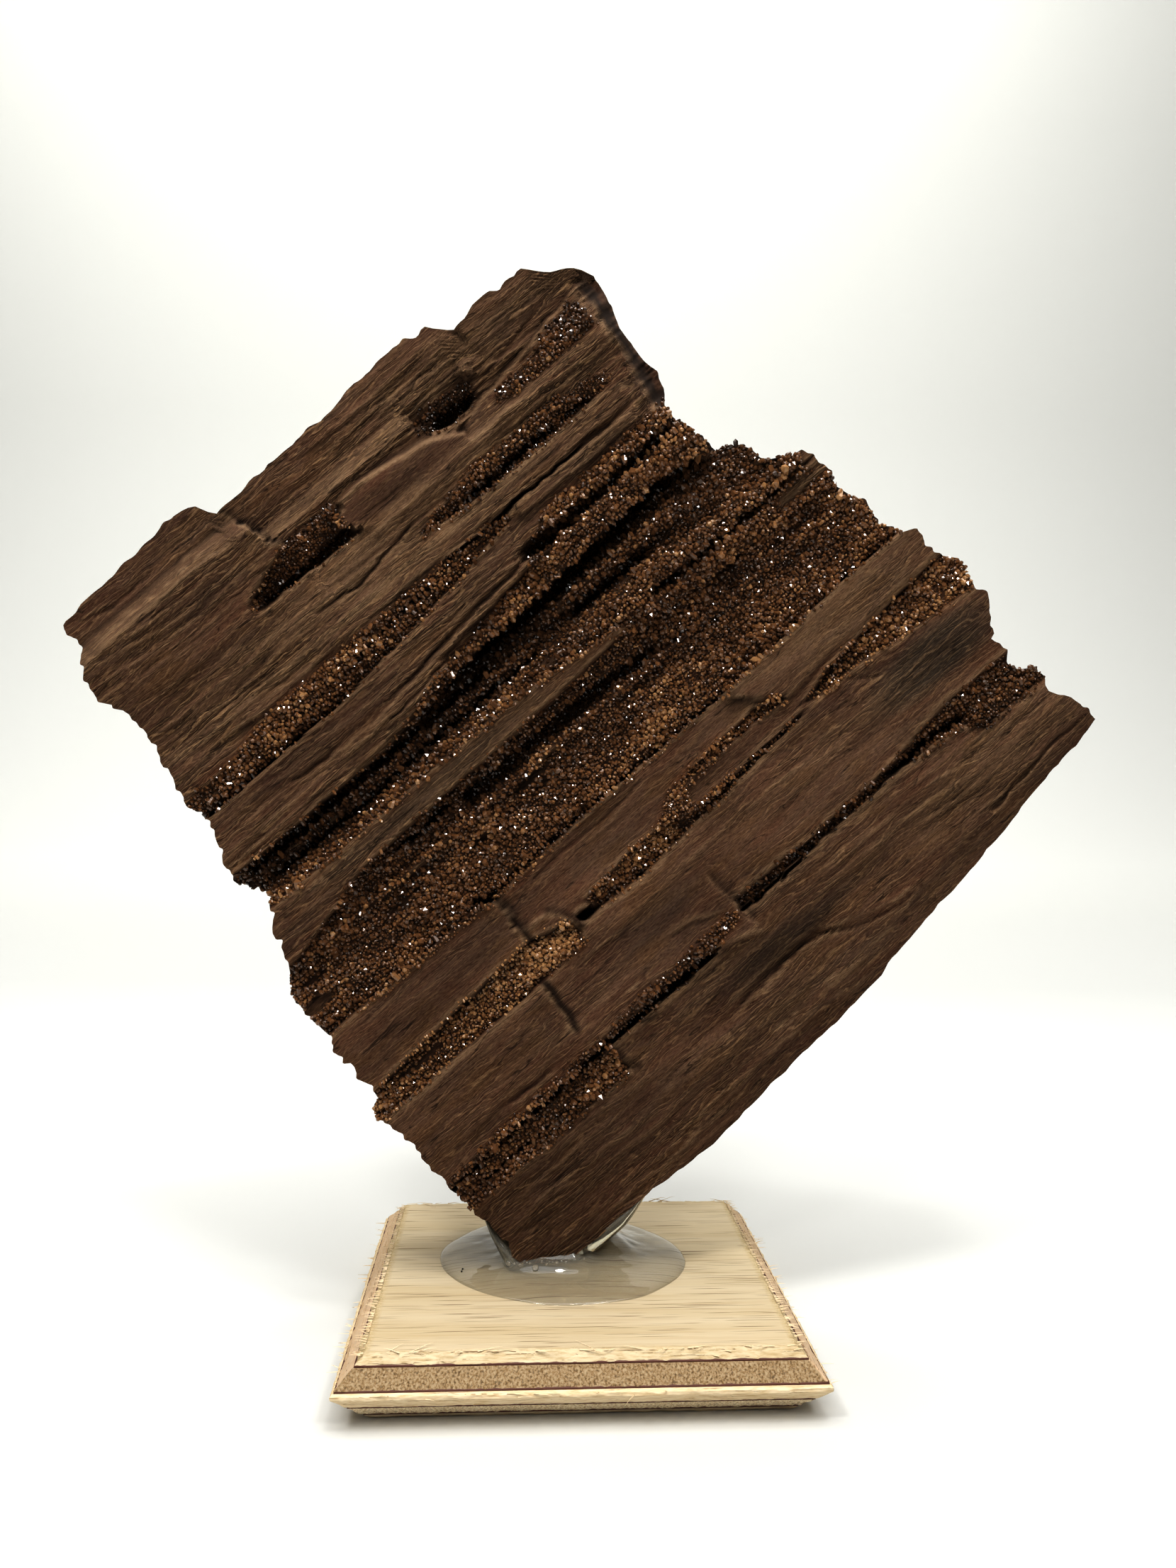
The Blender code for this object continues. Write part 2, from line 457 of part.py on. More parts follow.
def ply(name, heights, material, rng):
    """One layer of the board: square rings at its heights, joined and capped."""
    around = 4 * EDGE_CUTS
    corner = np.array([(-1, -1), (1, -1), (1, 1), (-1, 1), (-1, -1)], float)
    places = np.arange(around) / EDGE_CUTS
    square = np.stack([np.interp(places, range(5), corner[:, k]) for k in range(2)], 1)
    ragged = 1 - rng.uniform(0, RAGGED, around)[:, None] / line(BASE_SECTION, heights[0])
    cos, sin = math.cos(BASE_TURN), math.sin(BASE_TURN)
    points = []
    for z in heights:
        ring = square * ragged * line(BASE_SECTION, z)
        points += [(x * cos - y * sin, x * sin + y * cos, z) for x, y in ring]
    faces = [tuple(range(around)), tuple(range(len(points) - around, len(points)))]
    for level in range(len(heights) - 1):
        for k in range(around):
            a, b = level * around + k, level * around + (k + 1) % around
            faces.append((a, b, b + around, a + around))
    return add_object(name, points, faces, material)


# ---------------------------------------------------------------- hot glue

PUDDLE_CENTRE = (-2.0, 3.4)
PUDDLE_REACH = (22.3, 21.3)  # half its length and half its width
PUDDLE_RINGS = [0.2, 0.36, 0.5, 0.62, 0.74, 0.86, 0.95, 1.0]
PUDDLE_SECTORS = 32
RIM_HEIGHT, CROWN_HEIGHT = 0.35, 1.9
# Where glue climbs the stone: (x, y, reach, height).
COLLARS = [(6.5, 5.0, 9.0, 15.5), (-13.5, 5.0, 5.0, 9.5)]
CLEARANCE = 0.9  # from the stone's corner, wider than GAP because both surfaces are faceted
STONE_REACH_Y = (-9.5, 20.5)
FOOT_HEIGHT = -3.4  # the lowest that the face lies along its foot


def stone_underside(x):
    """Height of the stone's lower edges above each x."""
    edge = [(t, s) for t, s in LEFT_EDGE if t > 34]
    corner = [(s, t) for t, s in edge] + BOTTOM_EDGE[:5]
    s, t = np.array(corner, float).T
    place = face_point(s, t, np.full(len(s), FOOT_HEIGHT))
    order = np.argsort(place[:, 0])
    return np.interp(x, place[order, 0], place[order, 2])


def hot_glue(material):
    """A lens of glue with collars that climb the stone, kept below the stone's two lower edges."""
    floor = BASE_TOP_Z + GAP
    angle = np.arange(PUDDLE_SECTORS) * 2 * math.pi / PUDDLE_SECTORS
    share = np.array(PUDDLE_RINGS)[:, None]
    x = (PUDDLE_CENTRE[0] + PUDDLE_REACH[0] * share * np.cos(angle)).ravel()
    y = (PUDDLE_CENTRE[1] + PUDDLE_REACH[1] * share * np.sin(angle)).ravel()
    share = np.repeat(PUDDLE_RINGS, PUDDLE_SECTORS)
    x, y, share = np.append(x, PUDDLE_CENTRE[0]), np.append(y, PUDDLE_CENTRE[1]), np.append(share, 0)

    height = RIM_HEIGHT + CROWN_HEIGHT * (1 - share**2) ** 0.6
    for cx, cy, reach, climb in COLLARS:
        away = np.hypot(x - cx, 0.6 * (y - cy)) / reach
        height += climb * np.clip(1 - away, 0, 1) ** 1.5
    top = floor + height
    under_stone = (y > STONE_REACH_Y[0]) & (y < STONE_REACH_Y[1])
    top = np.where(under_stone, np.minimum(top, stone_underside(x) - CLEARANCE), top)
    top = np.maximum(top, floor + 0.12)

    points = list(zip(x, y, top))
    centre, around = len(points) - 1, PUDDLE_SECTORS
    outer = (len(PUDDLE_RINGS) - 1) * around
    foot = len(points)
    points += [(x[outer + k], y[outer + k], floor) for k in range(around)]
    faces = [(centre, k, (k + 1) % around) for k in range(around)]
    for ring in range(len(PUDDLE_RINGS) - 1):
        for k in range(around):
            a, b = ring * around + k, ring * around + (k + 1) % around
            faces += [(a, a + around, b + around), (a, b + around, b)]
    for k in range(around):
        n = (k + 1) % around
        faces.append((outer + k, outer + n, foot + n, foot + k))
    faces.append(tuple(foot + k for k in range(around)))
    return add_object("hot_glue", points, faces, material)


# ---------------------------------------------------------------- the whole object


def main():
    for obj in list(bpy.data.objects):
        bpy.data.objects.remove(obj)

    fossil = finish("petrified wood, dark chocolate brown", (0.075, 0.042, 0.028), 0.75)
    quartz = finish("smoky brown quartz", (0.16, 0.08, 0.045), 0.2)
    glue = finish("hot-melt glue, clear and slightly milky", (0.8, 0.8, 0.74), 0.12, 0.8)
    face_veneer = finish("pale birch veneer", (0.64, 0.5, 0.31), 0.6)
    cross_veneer = finish("brown cross veneer", (0.42, 0.28, 0.15), 0.7)

    rng = np.random.default_rng(7)
    s, t = face_grid(ROWS, COLUMNS, RIGHT_SPLITS)
    h = relief(s, t)
    petrified_wood(s, t, fossil)
    for name, (upper, lower) in CRUSTS.items():
        quartz_crust(name, s, t, h, crust_cells(s, t, upper, lower), quartz, rng)
    hot_glue(glue)
    for name, heights in PLIES.items():
        ply(name, heights, cross_veneer if "cross" in name else face_veneer, rng)


main()
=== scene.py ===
"""Looks of the quartz on petrified wood: fibrous stone, smoky druse, clear glue and a plywood square.

Sizes are in millimetres and MM turns them to metres. +Z is up and the stone's worked face looks along -Y.
The face is described in its own two directions: s runs along the grain, up to the right, and t runs across
it, down to the right. A height is how far the surface stands proud of the face plane; hollows are negative.
"""

import math
from typing import NamedTuple

import bpy
import numpy as np
from mathutils import Matrix


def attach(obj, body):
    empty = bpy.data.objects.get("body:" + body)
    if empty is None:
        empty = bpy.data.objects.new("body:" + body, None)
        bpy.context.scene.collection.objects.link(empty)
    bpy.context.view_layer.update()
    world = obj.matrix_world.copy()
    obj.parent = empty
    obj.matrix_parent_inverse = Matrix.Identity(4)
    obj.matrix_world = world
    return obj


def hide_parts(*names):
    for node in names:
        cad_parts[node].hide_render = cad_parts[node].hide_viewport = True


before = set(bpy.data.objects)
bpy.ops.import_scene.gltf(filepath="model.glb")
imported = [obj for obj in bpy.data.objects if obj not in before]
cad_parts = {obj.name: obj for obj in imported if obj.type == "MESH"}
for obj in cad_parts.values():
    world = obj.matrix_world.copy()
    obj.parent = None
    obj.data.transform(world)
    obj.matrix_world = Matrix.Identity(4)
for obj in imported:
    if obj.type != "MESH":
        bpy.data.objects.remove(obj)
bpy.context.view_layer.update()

MM = 0.001
GRAIN_TILT = math.radians(41)
FACE_PLANE_Y, BACK_PLANE_Y = -8.0, 18.0
FACE_CENTRE_Z = 94.0
# The camera stands here, and the relief fans out from here: what lies deeper than the face plane also lies
# further out.
SIGHT_POINT = (1.84, -216.6, 94.0)

# ---------------- numbers


def line(points, x):
    """Reads a line of (x, y) points at x, level beyond its ends."""
    p = np.array(points, float)
    return np.interp(x, p[:, 0], p[:, 1])


def ramp(distance, width):
    """0 to 1 as the distance goes from 0 to the width; a step where the width is 0."""
    return np.clip(distance / max(width, 1e-6), 0, 1)


def turns(count):
    """Angles of this many even steps round a circle."""
    return np.arange(count) * 2 * math.pi / count


def unit(vectors):
    """The vectors at a length of one."""
    return vectors / np.linalg.norm(vectors, axis=-1, keepdims=True)


def lattice(x, y, seed):
    """Smooth noise from -1 to 1: random values on a unit grid, blended between its corners by an S curve."""
    table = np.random.default_rng(seed).uniform(-1, 1, (256, 256))
    x, y = np.broadcast_arrays(np.asarray(x, float), np.asarray(y, float))
    i, j = np.floor(x).astype(int), np.floor(y).astype(int)
    u, v = x - i, y - j
    u, v = u * u * (3 - 2 * u), v * v * (3 - 2 * v)
    i, j, i2, j2 = i & 255, j & 255, (i + 1) & 255, (j + 1) & 255
    near = table[i, j] * (1 - u) + table[i2, j] * u
    far = table[i, j2] * (1 - u) + table[i2, j2] * u
    return near * (1 - v) + far * v


def spot(s, t, centre, reach):
    """1 at the centre of an ellipse of the face, 0 at its edge and beyond."""
    away = np.hypot((s - centre[0]) / reach[0], (t - centre[1]) / reach[1])
    return np.clip(1 - away, 0, 1)


def patches(s, t, spots):
    """Sum of patches of the face, each (centre, reach, strength): full in its inner half, then fading."""
    return sum(strength * np.minimum(2 * spot(s, t, centre, reach), 1) for centre, reach, strength in spots)


def between_ends(s, points, fade):
    """1 between the first and last point of a line along the grain, down to 0 over the fade at both."""
    return ramp(s - points[0][0], fade) * ramp(points[-1][0] - s, fade)


def shifted(points, by):
    """The same line moved across the grain."""
    return [(s, t + by) for s, t in points]


def away_from(s, t, points):
    """Distance of each point of the face from a line through the given points."""
    near = np.inf
    for (s0, t0), (s1, t1) in zip(points, points[1:]):
        run, fall = s1 - s0, t1 - t0
        along = np.clip(((s - s0) * run + (t - t0) * fall) / (run * run + fall * fall), 0, 1)
        near = np.minimum(near, np.hypot(s - s0 - along * run, t - t0 - along * fall))
    return near


# ---------------- outline of the face

TOP_EDGE = [(-48.8, -82.5), (-45, -83.2), (-35, -83.8), (-21.5, -85), (-17.5, -84), (-16, -81),
    (-15.5, -80.3), (-5, -80.9), (10, -81.2), (18, -82), (30, -82.3), (32, -81.2), (34, -81.6),
    (36.5, -78.8), (37.5, -78), (44, -79.3), (47, -79.2), (48.5, -78.2), (53.7, -78.5), (56, -76),
    (58, -74.5), (61.5, -72.2), (62.8, -69)]
BOTTOM_EDGE = [(-59.2, 56), (-58, 57.3), (-56.5, 58.5), (-54, 60.1), (-34, 60), (-25, 60.7), (-20, 60.8),
    (-12, 60), (0, 59.2), (10, 58.6), (21, 57.5), (23, 56.8), (29, 56), (33, 55.2), (40, 54.5), (50, 53),
    (60, 51.2), (66, 50), (73.5, 49.3), (78.8, 48)]
# The two broken ends, as (t, s).
LEFT_EDGE = [(-82.5, -48.8), (-78, -48.7), (-76.3, -49.8), (-73.5, -51.9), (-70.5, -52.3), (-68, -52.3),
    (-66.3, -51.5), (-63.8, -49.9), (-58, -50.3), (-56.5, -49.9), (-51.5, -51.2), (-47.5, -52.3),
    (-43.5, -52.5), (-42, -51.5), (-39.3, -51.2), (-35.8, -52.5), (-32, -54.2), (-30, -54.7), (-28, -54.2),
    (-25, -52.3), (-23, -51.3), (-20, -53.3), (-17.3, -55.2), (-15, -55.5), (-11.5, -56.8), (-9.8, -57.8),
    (-7.5, -59.8), (-5.5, -60.1), (-3, -60.4), (0, -59.8), (3, -59.3), (4, -60.6), (8, -60.5), (9, -60),
    (11, -60.6), (15.5, -59.6), (16.8, -60), (17, -61.5), (19.3, -62.7), (20.3, -62), (22.5, -61.4),
    (25, -61.1), (30, -60.7), (34, -61), (35.5, -60.5), (40, -60.4), (44.5, -60.3), (45.5, -59.7),
    (48, -59.4), (50.5, -59), (53, -59.8), (56, -59.2)]
RIGHT_EDGE = [(-69, 62.8), (-66, 62.3), (-62.5, 61.5), (-59, 60.3), (-52, 59.8), (-49, 60.3), (-45, 58.8),
    (-43.5, 57.5), (-40.5, 57.3), (-36.5, 58.5), (-31.5, 58.8), (-31, 61), (-29.5, 63), (-25.3, 64.3),
    (-23.5, 66), (-22, 69), (-21.8, 70.8), (-18, 71.8), (-15.5, 72.2), (-13, 71), (-9.5, 72), (-7.5, 73.4),
    (-3, 72.5), (0.8, 74.8), (2, 77), (5, 76.5), (9, 77.5), (11, 79.2), (14.5, 78.5), (16.5, 78),
    (18.3, 79), (22, 77), (25, 75.2), (25.3, 74.2), (28.7, 74.8), (30, 73.7), (32, 74), (34.3, 77),
    (36.5, 77), (39, 76.3), (42.5, 78), (45.5, 79.2), (48, 78.8)]

# ---------------- the relief of the face

# Height of the face across the grain, before its ledges and hollows, as (t, height).
FACE_PROFILE = [(-86, -11), (-79, -9.5), (-73, -9), (-70.3, -5), (-68, -5.5), (-60, -2.5), (-50, -1.5),
    (-40, -0.5), (-30, -1), (-20, -1.5), (-10, -2), (0, -1), (3, 0), (10, 0.3), (20, 0.8), (30, 1),
    (40, 0.5), (50, -0.8), (56, -1.8), (61, -3)]


class Band(NamedTuple):
    """A strip of the face between two lines along the grain, raised or sunk to a level of its own."""

    sunk: bool
    top: list  # (s, t) points of its upper line
    bottom: list  # (s, t) points of its lower line
    level: tuple  # height at the upper and at the lower line
    slope: tuple  # width of the slopes at the upper and lower line
    ends: tuple  # length of the slopes at the left and right end
    left: list = None  # (t, s) points of a broken left end
    right: list = None  # (t, s) points of a broken right end


def ledge(*shape, **broken_ends):
    """A raised band, whose slopes lie outside its lines."""
    return Band(False, *shape, **broken_ends)


def hollow(*shape, **broken_ends):
    """A sunk band, whose slopes lie inside its lines."""
    return Band(True, *shape, **broken_ends)


# From the top of the face to its foot. A later band overlies an earlier one.
BANDS = {
    "upper_left_plate": ledge([(-54, -74.7), (-40, -75), (-28, -75.4), (-12, -74.6)],
        [(-54, -60), (-9, -60)], (0.8, -1), (3.2, 9), (0.5, 0.4), right=[(-80.3, -15.5), (-79, -14.3),
        (-77, -14), (-75, -12.8), (-73, -12.5), (-70, -12), (-69, -10.5), (-66, -9.5)]),
    "upper_right_face": hollow([(27, -82), (63, -82)], [(27, -63.8), (45, -66.7), (59, -69.4), (63, -70)],
        (-7, -10), (2, 0.8), (1, 0), left=[(-82, 36), (-76, 38), (-70, 34), (-65, 28)]),
    "crest_slope": ledge([(27, -63.5), (35, -65.5), (45, -66.5), (50, -68), (59, -69.2), (63, -70)],
        [(27, -60), (63, -60)], (-6.5, -1.5), (0.6, 2), (2, 0)),
    "crest_pocket": hollow([(20, -73.4), (34, -73.4)], [(20, -69.5), (24, -66.8), (27, -65.2), (34, -66.3)],
        (-9, -11.5), (1.2, 0.8), (1, 1.2)),
    "crest_slot": hollow([(22.5, -67.4), (26, -68.2), (33.5, -67.8)],
        [(22.5, -66.8), (27, -65.2), (33.5, -66)], (-15, -15), (0.6, 0.4), (2, 1.5)),
    "upper_pocket": hollow([(-22, -64.3), (-16, -66.6), (-10.5, -68.5), (1.5, -68.8)],
        [(-22, -61.7), (1.5, -61.4)], (-5, -8), (1, 0.6), (3, 1.5)),
    "pocket_slot": hollow([(-18.5, -62.8), (-10, -63.6), (1.8, -64)], [(-18.5, -61.8), (1.8, -61.5)],
        (-12, -12), (0.7, 0.4), (4, 1)),
    "tongue_plate": ledge([(0.5, -65), (2.5, -67.8), (6, -68.1), (14, -67), (20, -66), (23, -65.3),
        (27, -63)], [(0.5, -64.5), (2, -62), (6, -60.3), (27, -60.3)], (-2, -1.6), (0.8, 0.8), (0.8, 0.5)),
    "brow": ledge([(5, -60.2), (60, -60.2)], [(5, -59.6), (60, -59.6)], (-1.4, -1.4), (1.5, 2.4), (4, 0)),
    "upper_groove": hollow([(10, -54.8), (17, -56), (22, -57), (52, -56.8)], [(10, -53.8), (17, -52.8),
        (24, -52.3), (52, -52.3)], (-2, -5.5), (0.9, 0.4), (4, 4)),
    "groove_hole_left": hollow([(19.5, -54.2), (27, -54.5)], [(19.5, -53), (27, -52.8)], (-9, -9),
        (0.4, 0.3), (1.5, 1)),
    "groove_hole_middle": hollow([(28, -54.4), (41, -54.7)], [(28, -53), (41, -52.9)], (-9, -9), (0.4, 0.3),
        (1, 2)),
    "groove_hole_right": hollow([(43, -54.2), (48, -54)], [(43, -53.2), (48, -52.9)], (-8, -8), (0.4, 0.3),
        (1, 1.5)),
    "upper_ledge": ledge([(-53, -52), (55, -51.8)], [(-53, -48.6), (54, -48.4)], (-1.2, -0.6), (1, 0.4),
        (0.5, 0.5), right=[(-52, 53.5), (-50, 55), (-48, 54)]),
    "upper_slot": hollow([(8, -47.6), (20, -47.3), (26, -48.4), (31, -47.8), (37, -47.8), (46, -47.3)],
        [(8, -47), (20, -46.4), (26, -47.6), (31, -47.3), (37, -47.1), (46, -47)], (-5.5, -5), (0.3, 0.3),
        (3, 5)),
    "lumpy_ridge": ledge([(23, -46.4), (26.5, -47.4), (53, -46.9)], [(23, -44.5), (53, -42.8)],
        (-0.4, -1.2), (0.4, 1.5), (1.5, 0.6)),
    "ridge_lip": ledge([(26, -47), (52.5, -46.7)], [(26, -45.2), (52.5, -44.9)], (0.1, 0.2), (0.5, 0.3),
        (1, 0.5)),
    "upper_band": hollow([(-54, -44.6), (-40, -45.2), (-34, -47.2), (24, -47.5)], [(-54, -40.2),
        (-20, -40.2), (10, -43.2), (24, -45.7)], (-2.2, -3.2), (0.8, 0.3), (0, 2)),
    "band_crease": hollow([(-37, -44), (-24, -43.7), (-11, -44.3)],
        [(-37, -43.5), (-24, -43.1), (-11, -43.8)], (-4.6, -4.6), (0.3, 0.3), (2, 2)),
    "band_slot": hollow([(-14, -44.7), (-5, -45.7), (8, -46.2)], [(-14, -44.2), (-5, -45), (8, -45.5)],
        (-6, -6), (0.3, 0.3), (2, 3)),
    "band_undercut": hollow([(-51, -40.8), (-35, -40.7), (-19, -41)], [(-51, -40.1), (-19, -40.1)],
        (-6.5, -6.5), (0.3, 0.15), (0.5, 4)),
    "broad_ledge": ledge([(-57, -39.8), (-20, -39.9), (20, -43.3)], [(-57, -29.6), (-30, -29.6), (-10, -31),
        (0, -33.2), (20, -35.2)], (-0.2, 1.5), (0.3, 0.5), (0, 2.5)),
    "split_ledge": ledge([(-24, -35), (-15, -35), (25, -38.2)], [(-24, -33), (-10, -32.2), (25, -35.2)],
        (1.6, 2.2), (0.4, 0.8), (4, 1.5)),
    "right_slot": hollow([(20, -41), (34, -40.8), (59, -41.4)], [(20, -38.2), (26, -37.4), (34, -38),
        (59, -39)], (-4, -8), (0.8, 0.4), (4, 0)),
    "crystal_ridge": ledge([(0, -35), (25, -37), (60, -38.3)], [(0, -32.2), (20, -32.5), (60, -35)],
        (-0.7, -1.2), (0.6, 0.6), (3, 0)),
    "main_hollow": hollow([(-57, -29.8), (-20, -29.3), (0, -31.9), (20, -32.3), (50, -34.7), (64, -31)],
        [(-57, -20.8), (25, -20.8), (67, -22.5)], (-9, -5), (0.8, 1.5), (0, 0)),
    "left_slot_top": hollow([(-50, -28.6), (-20, -28.4), (4, -29)],
        [(-50, -27.4), (-20, -27.3), (4, -26.8)], (-13, -13), (0.4, 0.4), (2, 1)),
    "left_rib": ledge([(-52, -26.9), (10, -26.6)], [(-52, -25.6), (10, -25.4)], (-4.5, -5), (0.5, 0.5),
        (1, 3)),
    "left_slot_low": hollow([(-48, -24.9), (-20, -25), (12, -25)], [(-48, -23.9), (-20, -23.8), (12, -24)],
        (-12, -12), (0.4, 0.4), (2, 3)),
    "left_bank": ledge([(-56, -23.3), (24, -23.6)], [(-56, -20.9), (24, -20.9)], (-4.5, -0.6), (0.4, 0.2),
        (0, 3)),
    "deep_slot": hollow([(2, -31.8), (20, -32.5), (50, -34.6)], [(2, -30), (20, -29.7), (50, -32.2)],
        (-16, -16), (0.4, 0.5), (3, 3)),
    "right_slope": ledge([(46, -32), (64, -30.5)], [(46, -23), (68, -22.5)], (-6, -3), (1, 1), (6, 0)),
    "inner_rib": ledge([(18, -29.2), (30, -29.4), (46, -29.8)], [(18, -27.4), (46, -27.4)], (-3.5, -4),
        (0.6, 0.5), (3, 4)),
    "inner_slot": hollow([(20, -26.6), (39, -26.6)], [(20, -24.9), (39, -25)], (-12, -12), (0.4, 0.4),
        (3, 3)),
    "right_bank": ledge([(18, -24.4), (45, -24), (70, -23)], [(18, -21.4), (70, -21.2)], (-4, -1.2),
        (0.5, 0.5), (3, 0)),
    "smooth_rib": ledge([(-58, -20.5), (0, -20.9), (14, -20.2), (25, -18.6)], [(-58, -11.2), (-50, -12.2),
        (-42, -14.4), (-36, -15.8), (-20, -16.4), (25, -17.6)], (1.1, 0.5), (0.5, 0.5), (0, 2)),
    "rib_tail": ledge([(25, -22.2), (73, -22.2)], [(25, -19.8), (73, -19.9)], (-1.4, -1), (1.2, 0.5),
        (3, 0)),
    "tail_slot": hollow([(32, -20), (73, -19.7)], [(32, -18.6), (58, -18.5), (73, -19)], (-5, -5),
        (0.4, 0.5), (3, 8)),
    "dark_groove": hollow([(-50, -12), (-42, -14.2), (-36, -15.6), (-20, -16.2), (25, -16.6), (45, -15.3),
        (75, -14.5)], [(-50, -10), (75, -9.6)], (-3.6, -4.4), (0.6, 1.2), (5, 10)),
    "groove_slot_left": hollow([(-30, -14.9), (-17, -15)], [(-30, -13.7), (-17, -13.5)], (-9, -9),
        (0.4, 0.4), (2, 1)),
    "groove_slot_middle": hollow([(-15.5, -14.8), (9, -14.4), (30, -13.2)],
        [(-15.5, -11.2), (9, -10.8), (30, -10.7)], (-9, -8), (0.5, 0.6), (1.5, 6)),
    "groove_slot_right": hollow([(34, -14), (47, -14.1)], [(34, -13.4), (47, -13.4)], (-6, -6), (0.3, 0.3),
        (2, 2)),
    "centre_slope": hollow([(-61, -10), (76, -9.8)], [(-61, 2.9), (-25, 2.6), (-20, 3.6), (0, 2.2), (35, 2),
        (60, 0.7), (76, 0.3)], (-4, -2), (0.8, 0.3), (0, 0)),
    "slope_crease": hollow([(-42, 2), (-24, 2.2), (0, 1.6), (35, 1.4), (60, 0.1), (72, -0.2)], [(-42, 2.6),
        (-24, 2.9), (0, 2.2), (35, 2), (60, 0.7), (72, 0.4)], (-4.4, -4.4), (0.25, 0.2), (4, 4)),
    "middle_plate": ledge([(-24, 3.6), (31, 2.6)], [(-24, 12), (20, 10), (31, 8)], (-0.5, 0), (0.3, 1),
        (0.3, 0.5)),
    "left_plate": ledge([(-63, 3.2), (-26, 2.6), (-22, 4)], [(-63, 15.6), (-50, 14.6), (-22, 12.8)],
        (1.6, 1.2), (0.4, 0.4), (0, 0.3), right=[(1.8, -25.5), (2.5, -24.2), (4, -22.3), (6.5, -22.1),
        (9, -22.6), (10.5, -22.3), (12.6, -22.8), (14, -22.8)]),
    "break_gap": hollow([(-25.6, 0.6), (-21.6, 2.4)], [(-25.6, 1.6), (-23.8, 3.4), (-21.6, 3.8)], (-5, -5),
        (0.3, 0.2), (0.5, 0.8)),
    "right_plate": ledge([(30, 2.2), (45, 1.4), (80, 0.3)], [(30, 9.5), (40, 9.6), (60, 8.4), (80, 7.2)],
        (1.4, 0.8), (0.4, 0.6), (0.4, 0), left=[(1.5, 31), (3, 32), (7, 36), (9.5, 39.7)]),
    "plate_chip": hollow([(16, 9), (24, 8), (34, 7.6), (40, 9)], [(16, 9.8), (24, 9.7), (34, 9.8),
        (40, 9.9)], (-1.6, -1.8), (0.3, 0.3), (2, 0.5)),
    "flap": ledge([(-23, 11), (-17, 11.2), (-14, 12)], [(-23, 13.4), (-13.8, 17)], (0.6, 0.3), (0.3, 0.4),
        (0.3, 0.25), right=[(11, -17), (13, -15.3), (15, -14.5), (17, -14)]),
    "left_groove": hollow([(-65, 15.8), (-50, 14.8), (-22, 13), (-14, 15.5)],
        [(-65, 20.3), (-26, 20.3), (-14, 18.8)], (-2, -0.7), (0.3, 0.5), (0, 1)),
    "middle_groove": hollow([(-10, 13.6), (0, 12.8), (8, 12.4), (15, 13)], [(-10, 16.4), (0, 17),
        (10, 16.4), (15, 15.8)], (-2, -2.4), (0.5, 0.4), (1, 3)),
    "middle_line": hollow([(12, 14.2), (20, 14.6), (30, 13.9), (42, 13)], [(12, 16), (20, 15.7), (30, 14.8),
        (42, 13.7)], (-2, -2.4), (0.4, 0.3), (3, 3)),
    "flap_hole": hollow([(-13.2, 15), (-9.6, 15.2)], [(-13.2, 16.7), (-9.6, 16.6)], (-5.5, -5.5),
        (0.4, 0.3), (0.4, 0.6)),
    "right_groove": hollow([(41, 12.4), (50, 10.3), (80, 8)], [(41, 13.2), (55, 14), (80, 16.6)],
        (-2.2, -1.4), (0.5, 0.8), (4, 0)),
    "lower_plate": ledge([(-65, 20.4), (-26, 20.3)], [(-65, 30.5), (-27, 30.5)], (2.3, 1.6), (0.3, 2),
        (0, 0.3), right=[(20, -25.9), (22, -25.5), (25, -26.1), (27, -25.8), (30, -26.6), (32, -27.3)]),
    "middle_step": ledge([(-27, 26), (11, 27)], [(-27, 34), (-5, 33.5), (2, 35), (11, 38)], (1, 1.9),
        (4, 1), (6, 0.4), right=[(24, 8.7), (30, 9), (38, 10)]),
    "bottom_left_shelf": hollow([(-62, 37), (-24, 36)], [(-62, 40), (-55, 42.4), (-24, 42)], (-1.7, -0.9),
        (0.3, 0.8), (0, 0.5), right=[(36, -24.2), (38, -24), (42, -22.8)]),
    "shelf_crease": hollow([(-58, 39.6), (-30, 39.7)], [(-58, 40.1), (-30, 40.2)], (-3.2, -3.2),
        (0.25, 0.25), (2, 6)),
    "bottom_left_slot": hollow([(-62, 37), (-45, 36.1), (-30, 35.7), (-25, 34.9), (-15, 34.8), (-3, 34.5),
        (3, 35.1)], [(-62, 37.7), (-45, 36.9), (-30, 36.5), (-24, 36.4), (-14, 36), (-3, 36), (3, 35.5)],
        (-6, -6), (0.3, 0.25), (0, 3)),
    "bottom_right_groove": hollow([(9.6, 30.9), (45, 30.9), (60, 28.8), (80, 28.6)], [(9.6, 33.2),
        (24, 32.9), (45, 32.5), (60, 33.4), (64, 36.6), (80, 36.8)], (-1.3, -2), (0.4, 0.3), (0.4, 0)),
    "groove_foot": hollow([(9.6, 33), (24, 33)], [(9.6, 33.7), (24, 33.5)], (-4.5, -4.5), (0.3, 0.2),
        (0.3, 2)),
    "bottom_right_slot": hollow([(44, 31.4), (52, 31), (62, 31)], [(44, 32.5), (52, 32.6), (62, 32.9)],
        (-6.5, -6.5), (0.4, 0.3), (3, 3)),
    "golden_bank": ledge([(62, 33.8), (80, 33.4)], [(62, 36.4), (80, 36.6)], (-1.6, -0.6), (0.6, 0.3),
        (2, 0)),
    "fold": hollow([(-6, 44.6), (0, 43.4), (10, 42.6), (17, 42.8), (22, 45.6), (27, 47.8), (36, 49.5)],
        [(-6, 46.9), (0, 46), (10, 45.1), (15, 45.3), (19, 46.2), (22, 48.3), (25, 49.7), (30, 50.4),
        (36, 51.5)], (0.4, -1.6), (0.5, 0.35), (4, 3)),
    "foot_roll": hollow([(-40, 60.5), (-20, 56), (20, 52), (80, 45)], [(-40, 63), (80, 63)], (-1, -7),
        (3, 0.1), (8, 0)),
}

